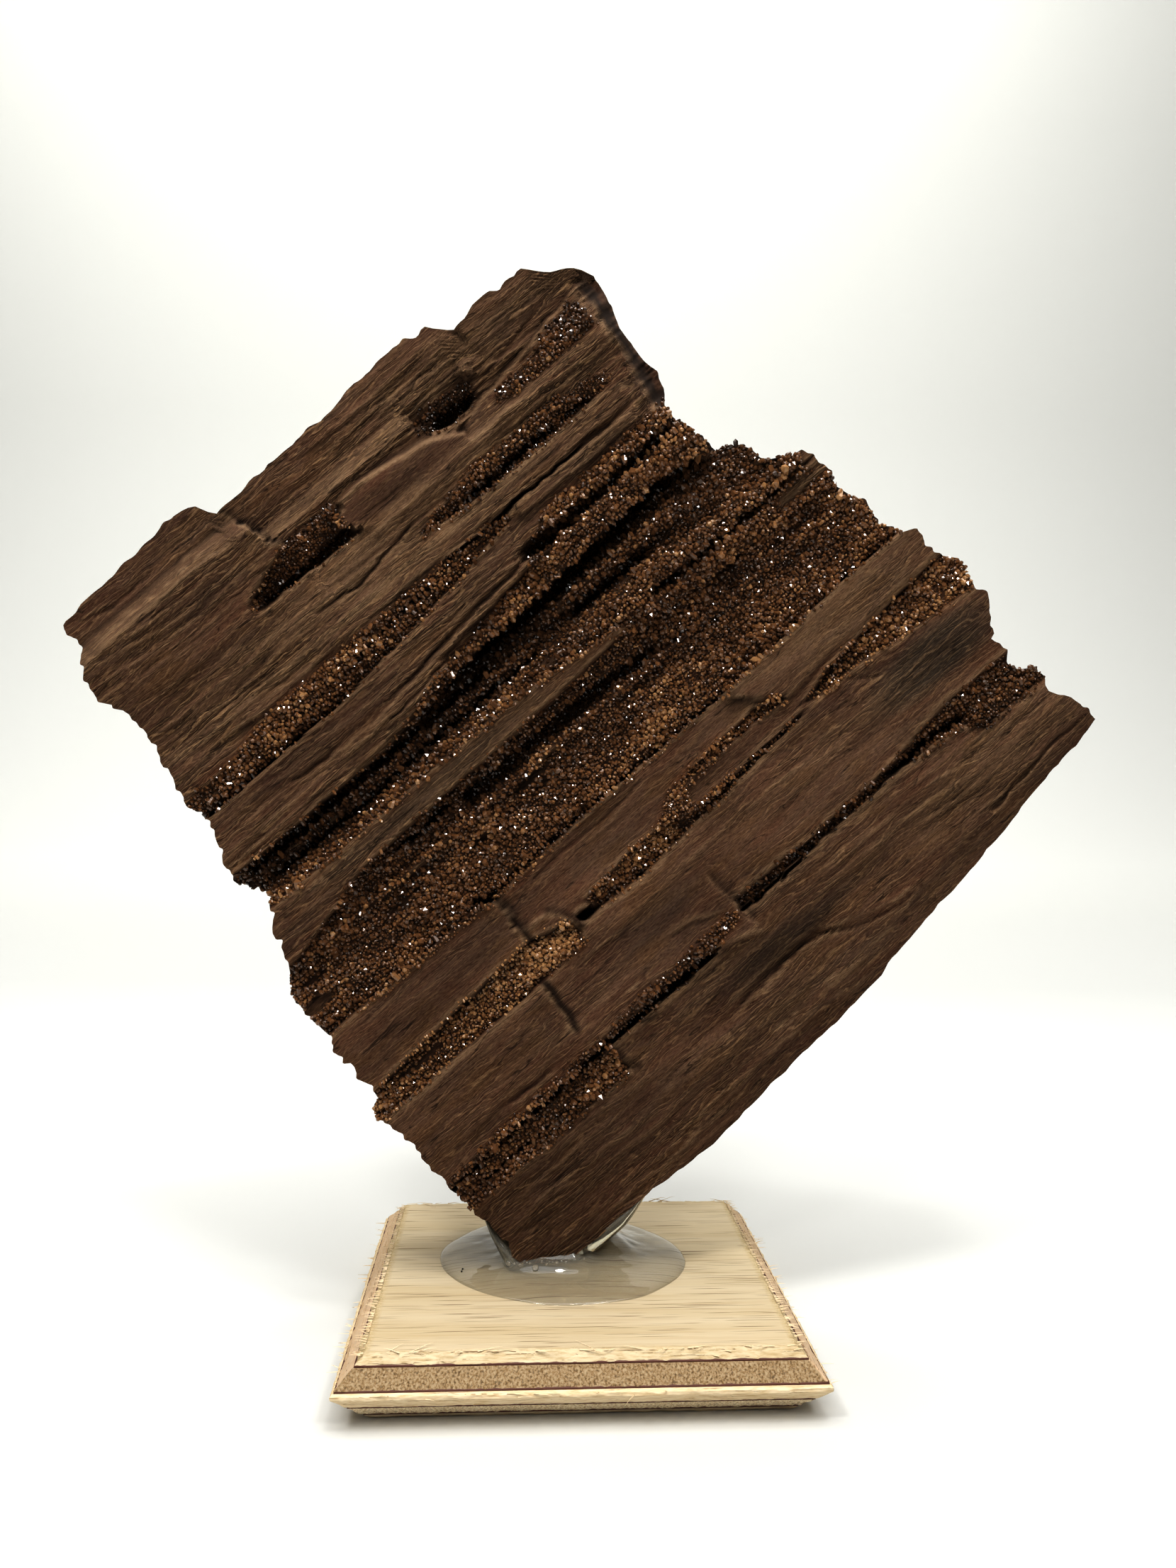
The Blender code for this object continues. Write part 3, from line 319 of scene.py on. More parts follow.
# The fresh break at the upper right: right of this line, as (t, s), the stone falls away to the back.
END_BREAK = [(-69.3, 59.3), (-60, 58.5), (-54, 57.5), (-50, 56.5), (-44, 55.5)]
END_BREAK_SPAN = (-71, -43.5)  # t between which it falls away
END_BREAK_FALL, END_BREAK_REACH = 4.5, 2.6  # how steeply, and how far to the right that goes on


def bare_relief(s, t):
    """Height of the face's ledges and hollows: each band takes over from those before it where it lies."""
    h = line(FACE_PROFILE, t) + 0.35 * np.sin(0.31 * s + 0.9 * np.sin(0.21 * t)) * np.sin(0.43 * t)
    for band in BANDS.values():
        upper, lower = line(band.top, s), line(band.bottom, s)
        left = line(band.left, t) if band.left else band.top[0][0]
        right = line(band.right, t) if band.right else band.top[-1][0]
        spread = (0, 0, 0, 0) if band.sunk else (*band.slope, *band.ends)
        cover = ramp(t - upper + spread[0], band.slope[0]) * ramp(lower - t + spread[1], band.slope[1])
        cover *= ramp(s - left + spread[2], band.ends[0]) * ramp(right - s + spread[3], band.ends[1])
        across = np.clip((t - upper) / np.maximum(lower - upper, 0.1), 0, 1)
        level = band.level[0] + (band.level[1] - band.level[0]) * across
        h += cover * (level - h)
    beyond = np.clip(s - line(END_BREAK, t), 0, END_BREAK_REACH)
    fade = ramp(t - END_BREAK_SPAN[0], 1.5) * ramp(END_BREAK_SPAN[1] - t, 1.5)
    return h - END_BREAK_FALL * beyond * fade


# Cracks along the grain: (s, t) points, width and depth.
CRACKS = [
    ([(-51, -75.6), (-30, -75.9), (-18, -75.6)], 0.25, 0.25),
    ([(-47, -81.5), (-40, -79.6), (-30, -79.8)], 0.3, 0.4),
    ([(-45, -67.2), (-30, -66.8), (-12, -67.5)], 0.25, 0.4),
    ([(-38, -65.8), (-30, -65.7)], 0.2, 0.3),
    ([(2, -63.2), (8, -63), (14, -63.1)], 0.2, 0.3),
    ([(-14, -55.1), (-7, -54.9), (-5.5, -54.1), (-3, -54.6), (10, -56.5)], 0.3, 1.1),
    ([(-44, -48.7), (-38, -48.5), (-33, -48.4)], 0.35, 0.9),
    ([(33, -72.5), (33.6, -69), (38, -68.2), (52, -71)], 0.4, 0.5),
    ([(-36, -35.6), (-34, -34.9), (-15, -34.9), (0, -36.7), (5, -37.5), (20, -38.3)], 0.4, 1.1),
    ([(-20, -32.5), (-8, -33), (0, -34.5)], 0.35, 0.8),
    ([(-44, 31.9), (-40, 32.5), (-33, 32.3)], 0.35, 0.8),
    ([(-57, 50.8), (-53, 51.3), (-50, 51)], 0.35, 0.5),
    ([(45, 12), (60, 10), (76, 8.4)], 0.35, 0.9),
    ([(50, 13), (60, 12.2), (70, 11)], 0.35, 0.9),
    ([(51, 33.4), (53, 33.9), (55, 33.6)], 0.3, 0.8),
    ([(56, 38.2), (58, 38.6), (60, 38.3)], 0.3, 0.8),
    ([(54, 48.4), (60, 47.6), (70, 46.3), (78, 46)], 0.4, 1.1),
    ([(-8, 16.7), (3, 16.9), (7, 16.5)], 0.3, 1.0),
    ([(33, -19.1), (45, -18.8), (58, -19.2)], 0.6, 1.4),
    ([(40, -10), (55, -9.6), (72, -9.8)], 0.4, 0.8),
    ([(-16, 5.2), (-8, 4.6), (4, 5), (12, 4.2)], 0.3, 0.6),
    ([(-22, 47.6), (-16, 46.6), (-10, 47)], 0.3, 0.5),
]
# Small steps: (s, t) points and height. The face drops below a step's line and comes back over STEP_LENGTH.
STEPS = [
    ([(-28, -50.4), (-22, -50.7), (-16, -50.3), (-11, -49.4)], 0.4),
    ([(-40, -31.2), (-20, -31), (0, -32.4)], 0.4),
    ([(0, -37.2), (12, -37), (25, -37.6)], 0.5),
    ([(-6, 28.2), (0, 28.5), (9, 32)], 0.7),
    ([(-50, -57), (-35, -56.2), (-20, -57.4)], 0.25),
    ([(-46, -62.4), (-30, -62), (-22, -62.8)], 0.3),
    ([(-50, 24.5), (-40, 25), (-30, 24.6)], 0.25),
    ([(-60, 46), (-40, 46.5), (-22, 45.6)], 0.3),
    ([(-30, 52.5), (0, 51.5), (30, 49.2)], 0.3),
    ([(-20, 55.4), (0, 55.6), (20, 53.6), (50, 48.8)], 0.4),
    ([(-18, 22), (0, 21.4), (25, 20)], 0.35),
    ([(20, 25), (45, 22.5), (70, 21)], 0.35),
    ([(25, 38.5), (45, 37.6), (75, 39.5)], 0.35),
    ([(-15, 7.5), (0, 6.6), (15, 6.9)], 0.3),
    ([(0, -78.5), (15, -77.6), (32, -78.4)], 0.4),
]
STEP_LENGTH = 5.0


def fine_marks(s, t):
    """Height of cracks and small steps: a crack is a bell-shaped cut across its line."""
    h = 0
    for points, width, depth in CRACKS:
        off = (t - line(points, s)) / width
        h = h - depth * between_ends(s, points, 1.5) * np.exp(-off * off)
    for points, drop in STEPS:
        off = t - line(points, s)
        h = h - drop * between_ends(s, points, 5) * ramp(off, 0.3) * (1 - ramp(off, STEP_LENGTH))
    return h


CRUST_BED = 1.1  # thickness of the crust below its crystals
CRUST_FRINGE = 1.6  # width over which a crust thins out at its edge
# For each crust: its upper and lower line, the spacing of its crystals, their radius and how light they are.
DRUSES = {
    "quartz_upper_pocket": ([(-22, -64), (-16, -66.4), (-10.5, -68.4), (1.5, -68.8)],
        [(-22, -62.6), (-10, -62), (1.5, -61.6)], 0.46, 0.26, 0.62),
    "quartz_crest_pocket": ([(20, -69), (24, -70.4), (34, -69.6)], [(20, -68.6), (24, -66.4), (27, -65.3),
        (34, -66)], 0.54, 0.31, 0.5),
    "quartz_crest_slope": ([(34, -64.2), (38, -65), (46, -65.4), (49, -67.4), (58, -68.6)],
        [(34, -63.8), (38, -62.3), (58, -63)], 0.54, 0.31, 0.5),
    "quartz_upper_groove": ([(9, -54.6), (17, -56), (22, -57), (44, -57), (54, -55.4)], [(9, -53.8),
        (17, -52.6), (24, -52.2), (48, -52.2), (54, -54)], 0.54, 0.31, 0.44),
    "quartz_upper_band": ([(-54, -44.6), (-40, -45.4), (-34, -47.4), (24, -47.5)], [(-54, -40.2),
        (-20, -40.4), (10, -43.4), (24, -45.8)], 0.57, 0.34, 0.52),
    "quartz_main_hollow": ([(-57, -29.8), (-20, -29.2), (0, -33.8), (20, -36.6), (24, -41), (30, -43.2),
        (60, -43.8), (70, -30)], [(-57, -20.6), (3, -20.7), (14, -20), (25, -18.4), (32, -16),
        (75, -15.6)], 0.57, 0.35, 0.5),
    "quartz_centre_slope": ([(-62, -10.3), (-50, -12), (-42, -14.4), (-36, -15.8), (20, -17), (26, -17.4),
        (33, -15.9), (76, -15.6)], [(-62, 3), (-20, 3.6), (0, 2.4), (35, 2), (60, 0.7),
        (76, 0.3)], 0.55, 0.33, 0.55),
    "quartz_left_groove": ([(-66, 15.8), (-50, 14.6), (-22, 12.9), (-14, 14.5)],
        [(-66, 20.3), (-13, 19.6)], 0.5, 0.29, 0.7),
    "quartz_middle_groove": ([(-10, 13.4), (0, 12.6), (8, 12.2), (15, 8.6), (24, 7.8), (40, 8)],
        [(-10, 16.2), (0, 17), (12, 16.2), (20, 15.7), (30, 14.8), (40, 13.8)], 0.5, 0.29, 0.58),
    "quartz_right_groove": ([(43, 12), (50, 10.2), (80, 8)],
        [(43, 13.2), (55, 14), (80, 16.4)], 0.54, 0.32, 0.58),
    "quartz_bottom_left": ([(-62, 35.8), (-50, 34.8), (-30, 34.2), (-5, 33.0), (9.5, 32.0)], [(-62, 42.2),
        (-24, 42), (-23, 36), (-5, 35.8), (9.5, 33.6)], 0.55, 0.32, 0.43),
    "quartz_bottom_right": ([(10, 30.9), (45, 30.7), (62, 29), (80, 28.8)], [(10, 32.9), (45, 32.3),
        (60, 33.6), (64, 36.8), (80, 37)], 0.54, 0.31, 0.32),
}
# Smooth bits of stone inside the crusts: (centre, reach).
BALD_SPOTS = [((-4, -8.5), (5, 0.9)), ((-57.5, -2.5), (4, 1.8)), ((-2.5, -6.5), (2.5, 0.7)),
    ((47, -14.5), (4, 0.5)), ((52.5, -15.5), (3.5, 0.5)), ((66, -17), (6, 1.6)), ((30, 11.7), (15, 2.6)),
    ((20, 12), (7, 2)), ((-50, 16.6), (7, 0.7)), ((-17, -6), (3, 0.6)), ((-34, -6.5), (5, 0.7)),
    ((-55, -6.4), (4, 0.7))]


def wander(s, t):
    """(s, t) shifted so that edges waver along the grain and broken ends are torn fibre by fibre."""
    along = s + 0.6 * lattice(s / 30, t / 2.4, 13) + 0.3 * lattice(s / 20, t / 0.7, 14)
    return along, t + 0.25 * lattice(s / 14, t / 6, 11) + 0.24 * lattice(s / 1.9, t / 1.5, 12)


def in_druse(s, t, upper, lower, fringe):
    """How far inside a crust a point lies, as 0 to 1 over the fringe."""
    _, across = wander(s, t)
    inside = ramp(across - line(upper, s), fringe) * ramp(line(lower, s) - across, fringe)
    inside *= between_ends(s, upper, 1.5)
    ragged = lattice(s / 2.5, t / 1.2, 25) + 0.6 * lattice(s / 6, t / 2, 26)
    inside = np.clip(inside * (1.15 + 0.6 * ragged), 0, 1)
    for centre, reach in BALD_SPOTS:
        inside *= 1 - np.minimum(3 * spot(s, across, centre, reach), 1)
    return inside


# Folds of the lower part of the face: (centre, reach) of shallow valleys and swells, and their height.
SWELLS = [((40, 43), (24, 4.5), -1.3), ((12, 42.5), (20, 5), -0.9), ((66, 41), (18, 6), 0.8),
    ((-8, 50), (20, 6), 0.6), ((-45, 50), (18, 8), 0.5), ((62, 22), (20, 7), 0.5), ((-44, 9), (18, 5), 0.3),
    ((0, 21), (22, 5), 0.5), ((-35, -66), (24, 10), 0.5), ((-30, -55), (30, 4), -0.4),
    ((14, -64.5), (10, 4), 0.4)]

# Short breaks across the grain: (s, t) points, depth and width of the crease.
CREASES = [
    ([(50.5, 14), (52.5, 15.6), (54.5, 17.2)], 0.7, 0.35),
    ([(36.5, 50), (37, 52), (36.4, 54)], 0.5, 0.4),
    ([(20.6, 5.6), (23.2, 7.6), (24, 9.4)], 0.5, 0.35),
    ([(10, -81), (11.5, -79), (13, -77)], 0.4, 0.35),
    ([(32.8, -76), (33, -73), (32.6, -70)], 0.5, 0.4),
    ([(38, -77), (37.8, -74), (38.4, -71)], 0.6, 0.4),
    ([(-24, 37), (-23.6, 39.5), (-22.4, 42.4)], 0.8, 0.4),
    ([(43, -49.5), (44, -51)], 0.3, 0.3),
]

# How fibrous the split is, as (t, 0 to 1), and the smooth or rough patches on it: (centre, reach, change).
FIBROUS = [(-85, 0.55), (-78, 0.5), (-74, 0.9), (-69, 0.8), (-66, 0.35), (-58, 0.8), (-48, 1), (-40, 0.8),
    (-34, 0.7), (-28, 0.9), (-20, 0.5), (-10, 0.5), (4, 0.25), (12, 0.3), (20, 0.25), (30, 0.3), (42, 0.45),
    (52, 0.6), (60, 0.6)]
PATCHES = [((14, -64), (13, 4.5), -0.5), ((-32, -65), (24, 10), -0.15), ((20, -76), (26, 5), 0.3),
    ((45, -62), (18, 8), 0.3), ((60, 42), (20, 10), 0.35), ((66, -17), (10, 2.5), 0.6)]


def fibrous(s, t):
    """How much the split stone shows its fibres at a point, 0 to 1 and a little over."""
    return np.clip(line(FIBROUS, t) + 0.25 * lattice(s / 22, t / 5, 20) + patches(s, t, PATCHES), 0.1, 1.2)


SAW_LEDGES = ((0.9, 2.6, 15), (0.48, 1.15, 16))  # height, period and seed of each size of low ledge
SAW_RISE = 0.14  # share of its period over which a ledge rises


def saw(s, t, period, seed):
    """Low ledges along the grain, each a quick rise that looks up, then a slow fall; they swell and fade."""
    phase = t / period + 0.9 * lattice(s / 30, t / 9, seed) + 0.3 * lattice(s / 7, t / 3, seed + 200)
    part = phase - np.floor(phase)
    height = np.where(part < SAW_RISE, part / SAW_RISE, (1 - part) / (1 - SAW_RISE)) - 0.5
    return height * np.clip(0.35 + 0.8 * lattice(s / 15, t / (2 * period), seed + 100), 0, 1)


def worked_relief(s, t):
    """Height of the stone's face with the wander of its edges, its torn ends, fibres and cracks."""
    along, across = wander(s, t)
    h = bare_relief(along, across) + fine_marks(s, across)
    for centre, reach, lift in SWELLS:
        away = spot(s, t, centre, reach)
        h = h + lift * away * away * (3 - 2 * away)
    rough = fibrous(s, t)
    h = h + rough * sum(height * saw(s, across, period, seed) for height, period, seed in SAW_LEDGES)
    h = h + 0.35 * lattice(s / 18, t / 8, 17) + (0.04 + 0.08 * rough) * lattice(s / 5, t / 1.6, 18)
    for points, depth, width in CREASES:
        off = away_from(s, t, points) / width
        h = h - depth * np.exp(-off * off)
    crusts = [in_druse(s, t, upper, lower, CRUST_FRINGE) for upper, lower, *_ in DRUSES.values()]
    lumps = 1 + 0.5 * lattice(s / 5, t / 2.2, 23) + 0.3 * lattice(s / 2, t / 1.5, 24)
    bed = np.max(crusts, axis=0) * lumps
    return h + CRUST_BED * bed + (0.03 + 0.1 * rough) * lattice(s / 5, across / 0.45, 19)


def face_point(s, t, h):
    """The place in millimetres of the face's point (s, t) at height h."""
    x = s * math.cos(GRAIN_TILT) + t * math.sin(GRAIN_TILT)
    z = FACE_CENTRE_Z + s * math.sin(GRAIN_TILT) - t * math.cos(GRAIN_TILT)
    eye_x, eye_y, eye_z = SIGHT_POINT
    reach = (FACE_PLANE_Y - h - eye_y) / (FACE_PLANE_Y - eye_y)
    return np.stack([eye_x + (x - eye_x) * reach, FACE_PLANE_Y - h, eye_z + (z - eye_z) * reach], -1)


# ---------------- meshes


def make_piece(name, points, faces, material, smooth=True, marks=None):
    """One mesh at the origin from points in millimetres and arrays of faces, with a row of corners for each.

    marks are named numbers, one for each point, that the material reads.
    """
    mesh = bpy.data.meshes.new(name)
    mesh.vertices.add(len(points))
    mesh.vertices.foreach_set("co", (np.asarray(points) * MM).astype(np.float32).ravel())
    corners = np.concatenate([f.ravel() for f in faces]).astype(np.int32)
    sizes = np.concatenate([np.full(len(f), f.shape[1]) for f in faces])
    mesh.loops.add(len(corners))
    mesh.loops.foreach_set("vertex_index", corners)
    mesh.polygons.add(len(sizes))
    mesh.polygons.foreach_set("loop_start", (np.cumsum(sizes) - sizes).astype(np.int32))
    mesh.polygons.foreach_set("use_smooth", np.full(len(sizes), smooth))
    mesh.update(calc_edges=True)
    for key, values in (marks or {}).items():
        mesh.attributes.new(key, "FLOAT", "POINT").data.foreach_set("value", np.asarray(values, np.float32))
    mesh.materials.append(material)
    piece = bpy.data.objects.new(name, mesh)
    bpy.context.scene.collection.objects.link(piece)
    return piece


def on_root(piece, slot, *nodes):
    """The piece rides on the one body and stands for the nodes, whose parts are hidden. slot is not used."""
    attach(piece, "root")
    if nodes:
        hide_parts(*nodes)


def grid_faces(rows, columns, start=0, closed=False):
    """The four-sided cells of a grid numbered row by row. Each starts down a column and goes on along a row.

    closed joins the last column to the first.
    """
    i, j = np.meshgrid(np.arange(rows - 1), np.arange(columns if closed else columns - 1), indexing="ij")
    after = (j + 1) % columns
    cells = [i * columns + j, (i + 1) * columns + j, (i + 1) * columns + after, i * columns + after]
    return start + np.stack([c.ravel() for c in cells], 1)


def repeated(faces, count, corners):
    """The faces of a shape for count copies of it, whose points follow one another, corners to each."""
    return (corners * np.arange(count)[:, None, None] + faces).reshape(-1, faces.shape[1])


def rim(rows, columns):
    """The outer points of a grid in order: along its first row, down, back along its last row, and up."""
    grid = np.arange(rows * columns).reshape(rows, columns)
    return np.concatenate([grid[0, :-1], grid[:-1, -1], grid[-1, :0:-1], grid[:0:-1, 0]])


# ---------------- finishes


def linear(code):
    """Linear RGBA of an sRGB hex colour."""
    parts = [int(code[k:k + 2], 16) / 255 for k in (1, 3, 5)]
    return (*[c / 12.92 if c <= 0.04045 else ((c + 0.055) / 1.055) ** 2.4 for c in parts], 1.0)


def add(tree, kind, inputs=None, stops=(), out=0, **settings):
    """Adds a node and gives its output of that name or number.

    inputs are values, hex colours or other nodes' outputs by the name or number of the input they go to,
    and stops the (position, hex colour) points of a colour ramp. A Map Range takes the value as 0, its range
    as 1 and 2, and the range it becomes as 3 and 4. A Mix of colours takes the share as 0 and the colours as
    6 and 7.
    """
    node = tree.nodes.new("ShaderNode" + kind)
    for key, value in settings.items():
        setattr(node, key, value)
    for key, value in (inputs or {}).items():
        if isinstance(value, bpy.types.NodeSocket):
            tree.links.new(value, node.inputs[key])
        else:
            node.inputs[key].default_value = linear(value) if isinstance(value, str) else value
    if stops:
        points = node.color_ramp.elements
        while len(points) < len(stops):
            points.new(0.5)
        for point, (position, code) in zip(points, stops):
            point.position, point.color = position, linear(code)
    return node.outputs[out]


def new_finish(name, colour=None, **sockets):
    """A material with a Principled shader whose sockets get these values; _ stands for a space."""
    material = bpy.data.materials.new(name)
    material.use_nodes = True
    tree = material.node_tree
    shader = tree.nodes["Principled BSDF"]
    if colour:
        shader.inputs["Base Color"].default_value = linear(colour)
    for key, value in sockets.items():
        shader.inputs[key.replace("_", " ")].default_value = value
    return material, tree, shader


def along_grain(tree, place, turn, length, width):
    """Coordinates turned to a grain, one unit for each length along it and width across, in millimetres."""
    return add(tree, "Mapping", {"Vector": place, "Rotation": turn,
                                 "Scale": (length * MM, width * MM, width * MM)}, vector_type="TEXTURE")


# For each size of ledge in the stone's finish: its period, its length along the grain and its height, then
# the strength of the painted highlight along its upper edge and of the painted shade at its foot.
STONE_LEDGES = [(0.9, 12, 0.22, 0.65, 0.6), (0.38, 5, 0.1, 0.5, 0.5)]
BLACK, WHITE = "#000000", "#ffffff"


def petrified_wood_finish():
    """Petrified wood, split along the grain: dull stone that keeps the wood's fibres.

    The eye gets chocolate brown in long streaks, fine ledges whose bump catches light on their upper edge,
    with a painted highlight there and painted shade at their foot, tan where edges are worn, painted
    highlights on broken edges and on strips that face up, painted shade in the hollows and beside broken
    edges, and rust beside the crystals.
    """
    material, tree, shader = new_finish("petrified_wood_split", Roughness=0.85, Specular_IOR_Level=0.1)
    place = add(tree, "TexCoord", out="Object")
    swirl = add(tree, "TexNoise", {"Vector": place, "Scale": 1 / (3 * MM), "Detail": 1.0}, out="Color")
    reach = 0.5 * MM  # the fibres waver by up to half of this either way
    sway = add(tree, "VectorMath", {0: swirl, 1: (reach, reach, reach), 2: (-reach / 2, 0, -reach / 2)},
               operation="MULTIPLY_ADD")
    wavy = add(tree, "VectorMath", {0: place, 1: sway}, operation="ADD")

    turn = (0, -GRAIN_TILT, 0)

    def streaks(length, width, detail, at=place):
        """Noise drawn out along the grain; length and width of a streak in millimetres."""
        return add(tree, "TexNoise", {"Vector": along_grain(tree, at, turn, length, width), "Scale": 1.0,
                                      "Detail": detail, "Roughness": 0.6})

    def ledges(period, length, stray):
        """Place between the edges of two ledges, 0 to 1 going up; noise strays them off an even spacing."""
        up = add(tree, "SeparateXYZ", {0: along_grain(tree, wavy, turn, 1, period)}, out=2)
        noise = streaks(length, 2.4 * period, 1, wavy)
        phase = add(tree, "Math", {0: noise, 1: stray, 2: up}, operation="MULTIPLY_ADD")
        return add(tree, "Math", {0: phase}, operation="FRACT")

    zones, bands, patchwork = streaks(50, 10, 2), streaks(26, 2.4, 3), streaks(9, 1.6, 1, wavy)
    flecks, fibres, hues = streaks(2.2, 0.22, 1), streaks(0.8, 0.12, 2), streaks(14, 4, 3, wavy)
    colour = add(tree, "ValToRGB", {"Fac": zones}, [(0.34, "#5e473a"), (0.46, "#685142"), (0.56, "#715949"),
                                                    (0.7, "#624f42")])
    shade = add(tree, "ValToRGB", {"Fac": bands}, [(0.3, "#ccc4bd"), (0.55, "#f3efeb"), (0.72, WHITE)])
    hue = add(tree, "ValToRGB", {"Fac": hues}, [(0.38, "#f9eae4"), (0.5, WHITE), (0.62, "#fbf4de")])
    pits = add(tree, "ValToRGB", {"Fac": fibres}, [(0.36, "#a89c91"), (0.5, "#ebe6e0"), (0.6, WHITE)])
    marks = {mark: add(tree, "Attribute", out="Fac", attribute_name=mark)
             for mark in ("fibrous", "rust", "ash", "wear_and_highlight", "dark_stone_and_shade")}
    patchy = add(tree, "MapRange", {0: patchwork, 1: 0.36, 2: 0.56, 3: 0.3, 4: 1.0})
    patchy = add(tree, "Math", {0: patchy, 1: marks["fibrous"]}, operation="MULTIPLY")

    # What lies over the body colour, in order: share, colour and way of mixing.
    # The pale coat of worn edges also carries painted highlights on broken edges and on strips that face up.
    coats = [(0.8, shade, "MULTIPLY"), (0.8, hue, "MULTIPLY"), (marks["rust"], "#6a442c", "MIX"),
             (marks["ash"], "#453e36", "MIX"), (marks["wear_and_highlight"], "#917a62", "MIX")]
    bump = None
    for period, length, rise, pale, dark in STONE_LEDGES:
        between = ledges(period, length, 4.5)
        # Painted shade at the foot of each ledge and a painted highlight along its upper edge, over what the
        # bump itself shades.
        foot = add(tree, "MapRange", {0: between, 1: 0.0, 2: 0.3, 3: dark, 4: 0.0})
        painted_lip_highlight = add(tree, "ValToRGB", {"Fac": between}, [(0.72, BLACK), (0.86, WHITE), (1.0, BLACK)])
        painted_lip_highlight = add(tree, "Math", {0: painted_lip_highlight, 1: pale}, operation="MULTIPLY")
        swell = add(tree, "ValToRGB", {"Fac": between}, [(0.0, BLACK), (0.8, WHITE), (1.0, BLACK)])
        foot, painted_lip_highlight, swell = (add(tree, "Math", {0: value, 1: patchy}, operation="MULTIPLY")
                            for value in (foot, painted_lip_highlight, swell))
        coats += [(foot, "#2c2018", "MIX"), (painted_lip_highlight, "#a98d6c", "MIX")]
        bump = add(tree, "Bump", {"Height": swell, "Strength": 0.9, "Distance": rise * MM,
                                  **({"Normal": bump} if bump else {})})
    # Hairline cracks run where one drawn-out noise crosses its middle, in stretches set by another.
    crossing = add(tree, "ValToRGB", {"Fac": streaks(34, 2.6, 2, wavy)},
                   [(0.487, BLACK), (0.5, WHITE), (0.513, BLACK)])
    stretch = add(tree, "MapRange", {0: streaks(8, 3, 1), 1: 0.5, 2: 0.58, 3: 0.0, 4: 0.8})
    crack = add(tree, "Math", {0: crossing, 1: stretch}, operation="MULTIPLY")
    speck = add(tree, "MapRange", {0: flecks, 1: 0.56, 2: 0.72, 3: 0.0, 4: 0.3})
    # The last coat is painted shade in the hollows and beside broken edges, over darker stone under the
    # crusts and at the end break.
    coats += [(speck, "#967a5b", "MIX"), (0.7, pits, "MULTIPLY"), (crack, "#1d140e", "MIX"),
              (marks["dark_stone_and_shade"], "#211812", "MIX")]
    for share, over, way in coats:
        colour = add(tree, "Mix", {0: share, 6: colour, 7: over}, out=2, data_type="RGBA", blend_type=way)
    fine = add(tree, "Bump", {"Height": flecks, "Strength": 0.5, "Distance": 0.1 * MM, "Normal": bump})
    tree.links.new(colour, shader.inputs["Base Color"])
    tree.links.new(fine, shader.inputs["Normal"])
    return material


def quartz_finish():
    """Smoky quartz, grown as a druse: glassy brown points over iron stain, with small white flashes."""
    material, tree, shader = new_finish("smoky_quartz_druse", Roughness=0.07, IOR=1.544,
                                        Specular_IOR_Level=0.65, Transmission_Weight=0.2)
    # The tone mark is each point's own lightness, with painted shade on the points that lie deep.
    tone = add(tree, "Attribute", out="Fac", attribute_name="tone")
    colour = add(tree, "ValToRGB", {"Fac": tone}, [(0.0, "#38271a"), (0.4, "#65472f"), (0.75, "#8b6442"),
                                                   (1.0, "#ba9368")])
    tree.links.new(colour, shader.inputs["Base Color"])
    return material


GLUE_IOR = 1.49


def bubble_finish():
    """A thin film of hot-melt glue blown round air: pale, with a bright wet edge."""
    return new_finish("hot_melt_glue_bubble", "#fffaf0", Roughness=0.02, IOR=GLUE_IOR,
                      Transmission_Weight=0.88)[0]


def glue_finish():
    """Hot-melt glue, cast and set: clear with a faint grey-green milkiness, and a wet gloss."""
    material, tree, _ = new_finish("hot_melt_glue", "#f7f2e2", Roughness=0.04, IOR=GLUE_IOR,
                                   Transmission_Weight=0.86)
    body = add(tree, "VolumeAbsorption", {"Color": "#cfcab0", "Density": 24.0})
    tree.links.new(body, tree.nodes["Material Output"].inputs["Volume"])
    return material


BASE_TURN = math.radians(3.3)


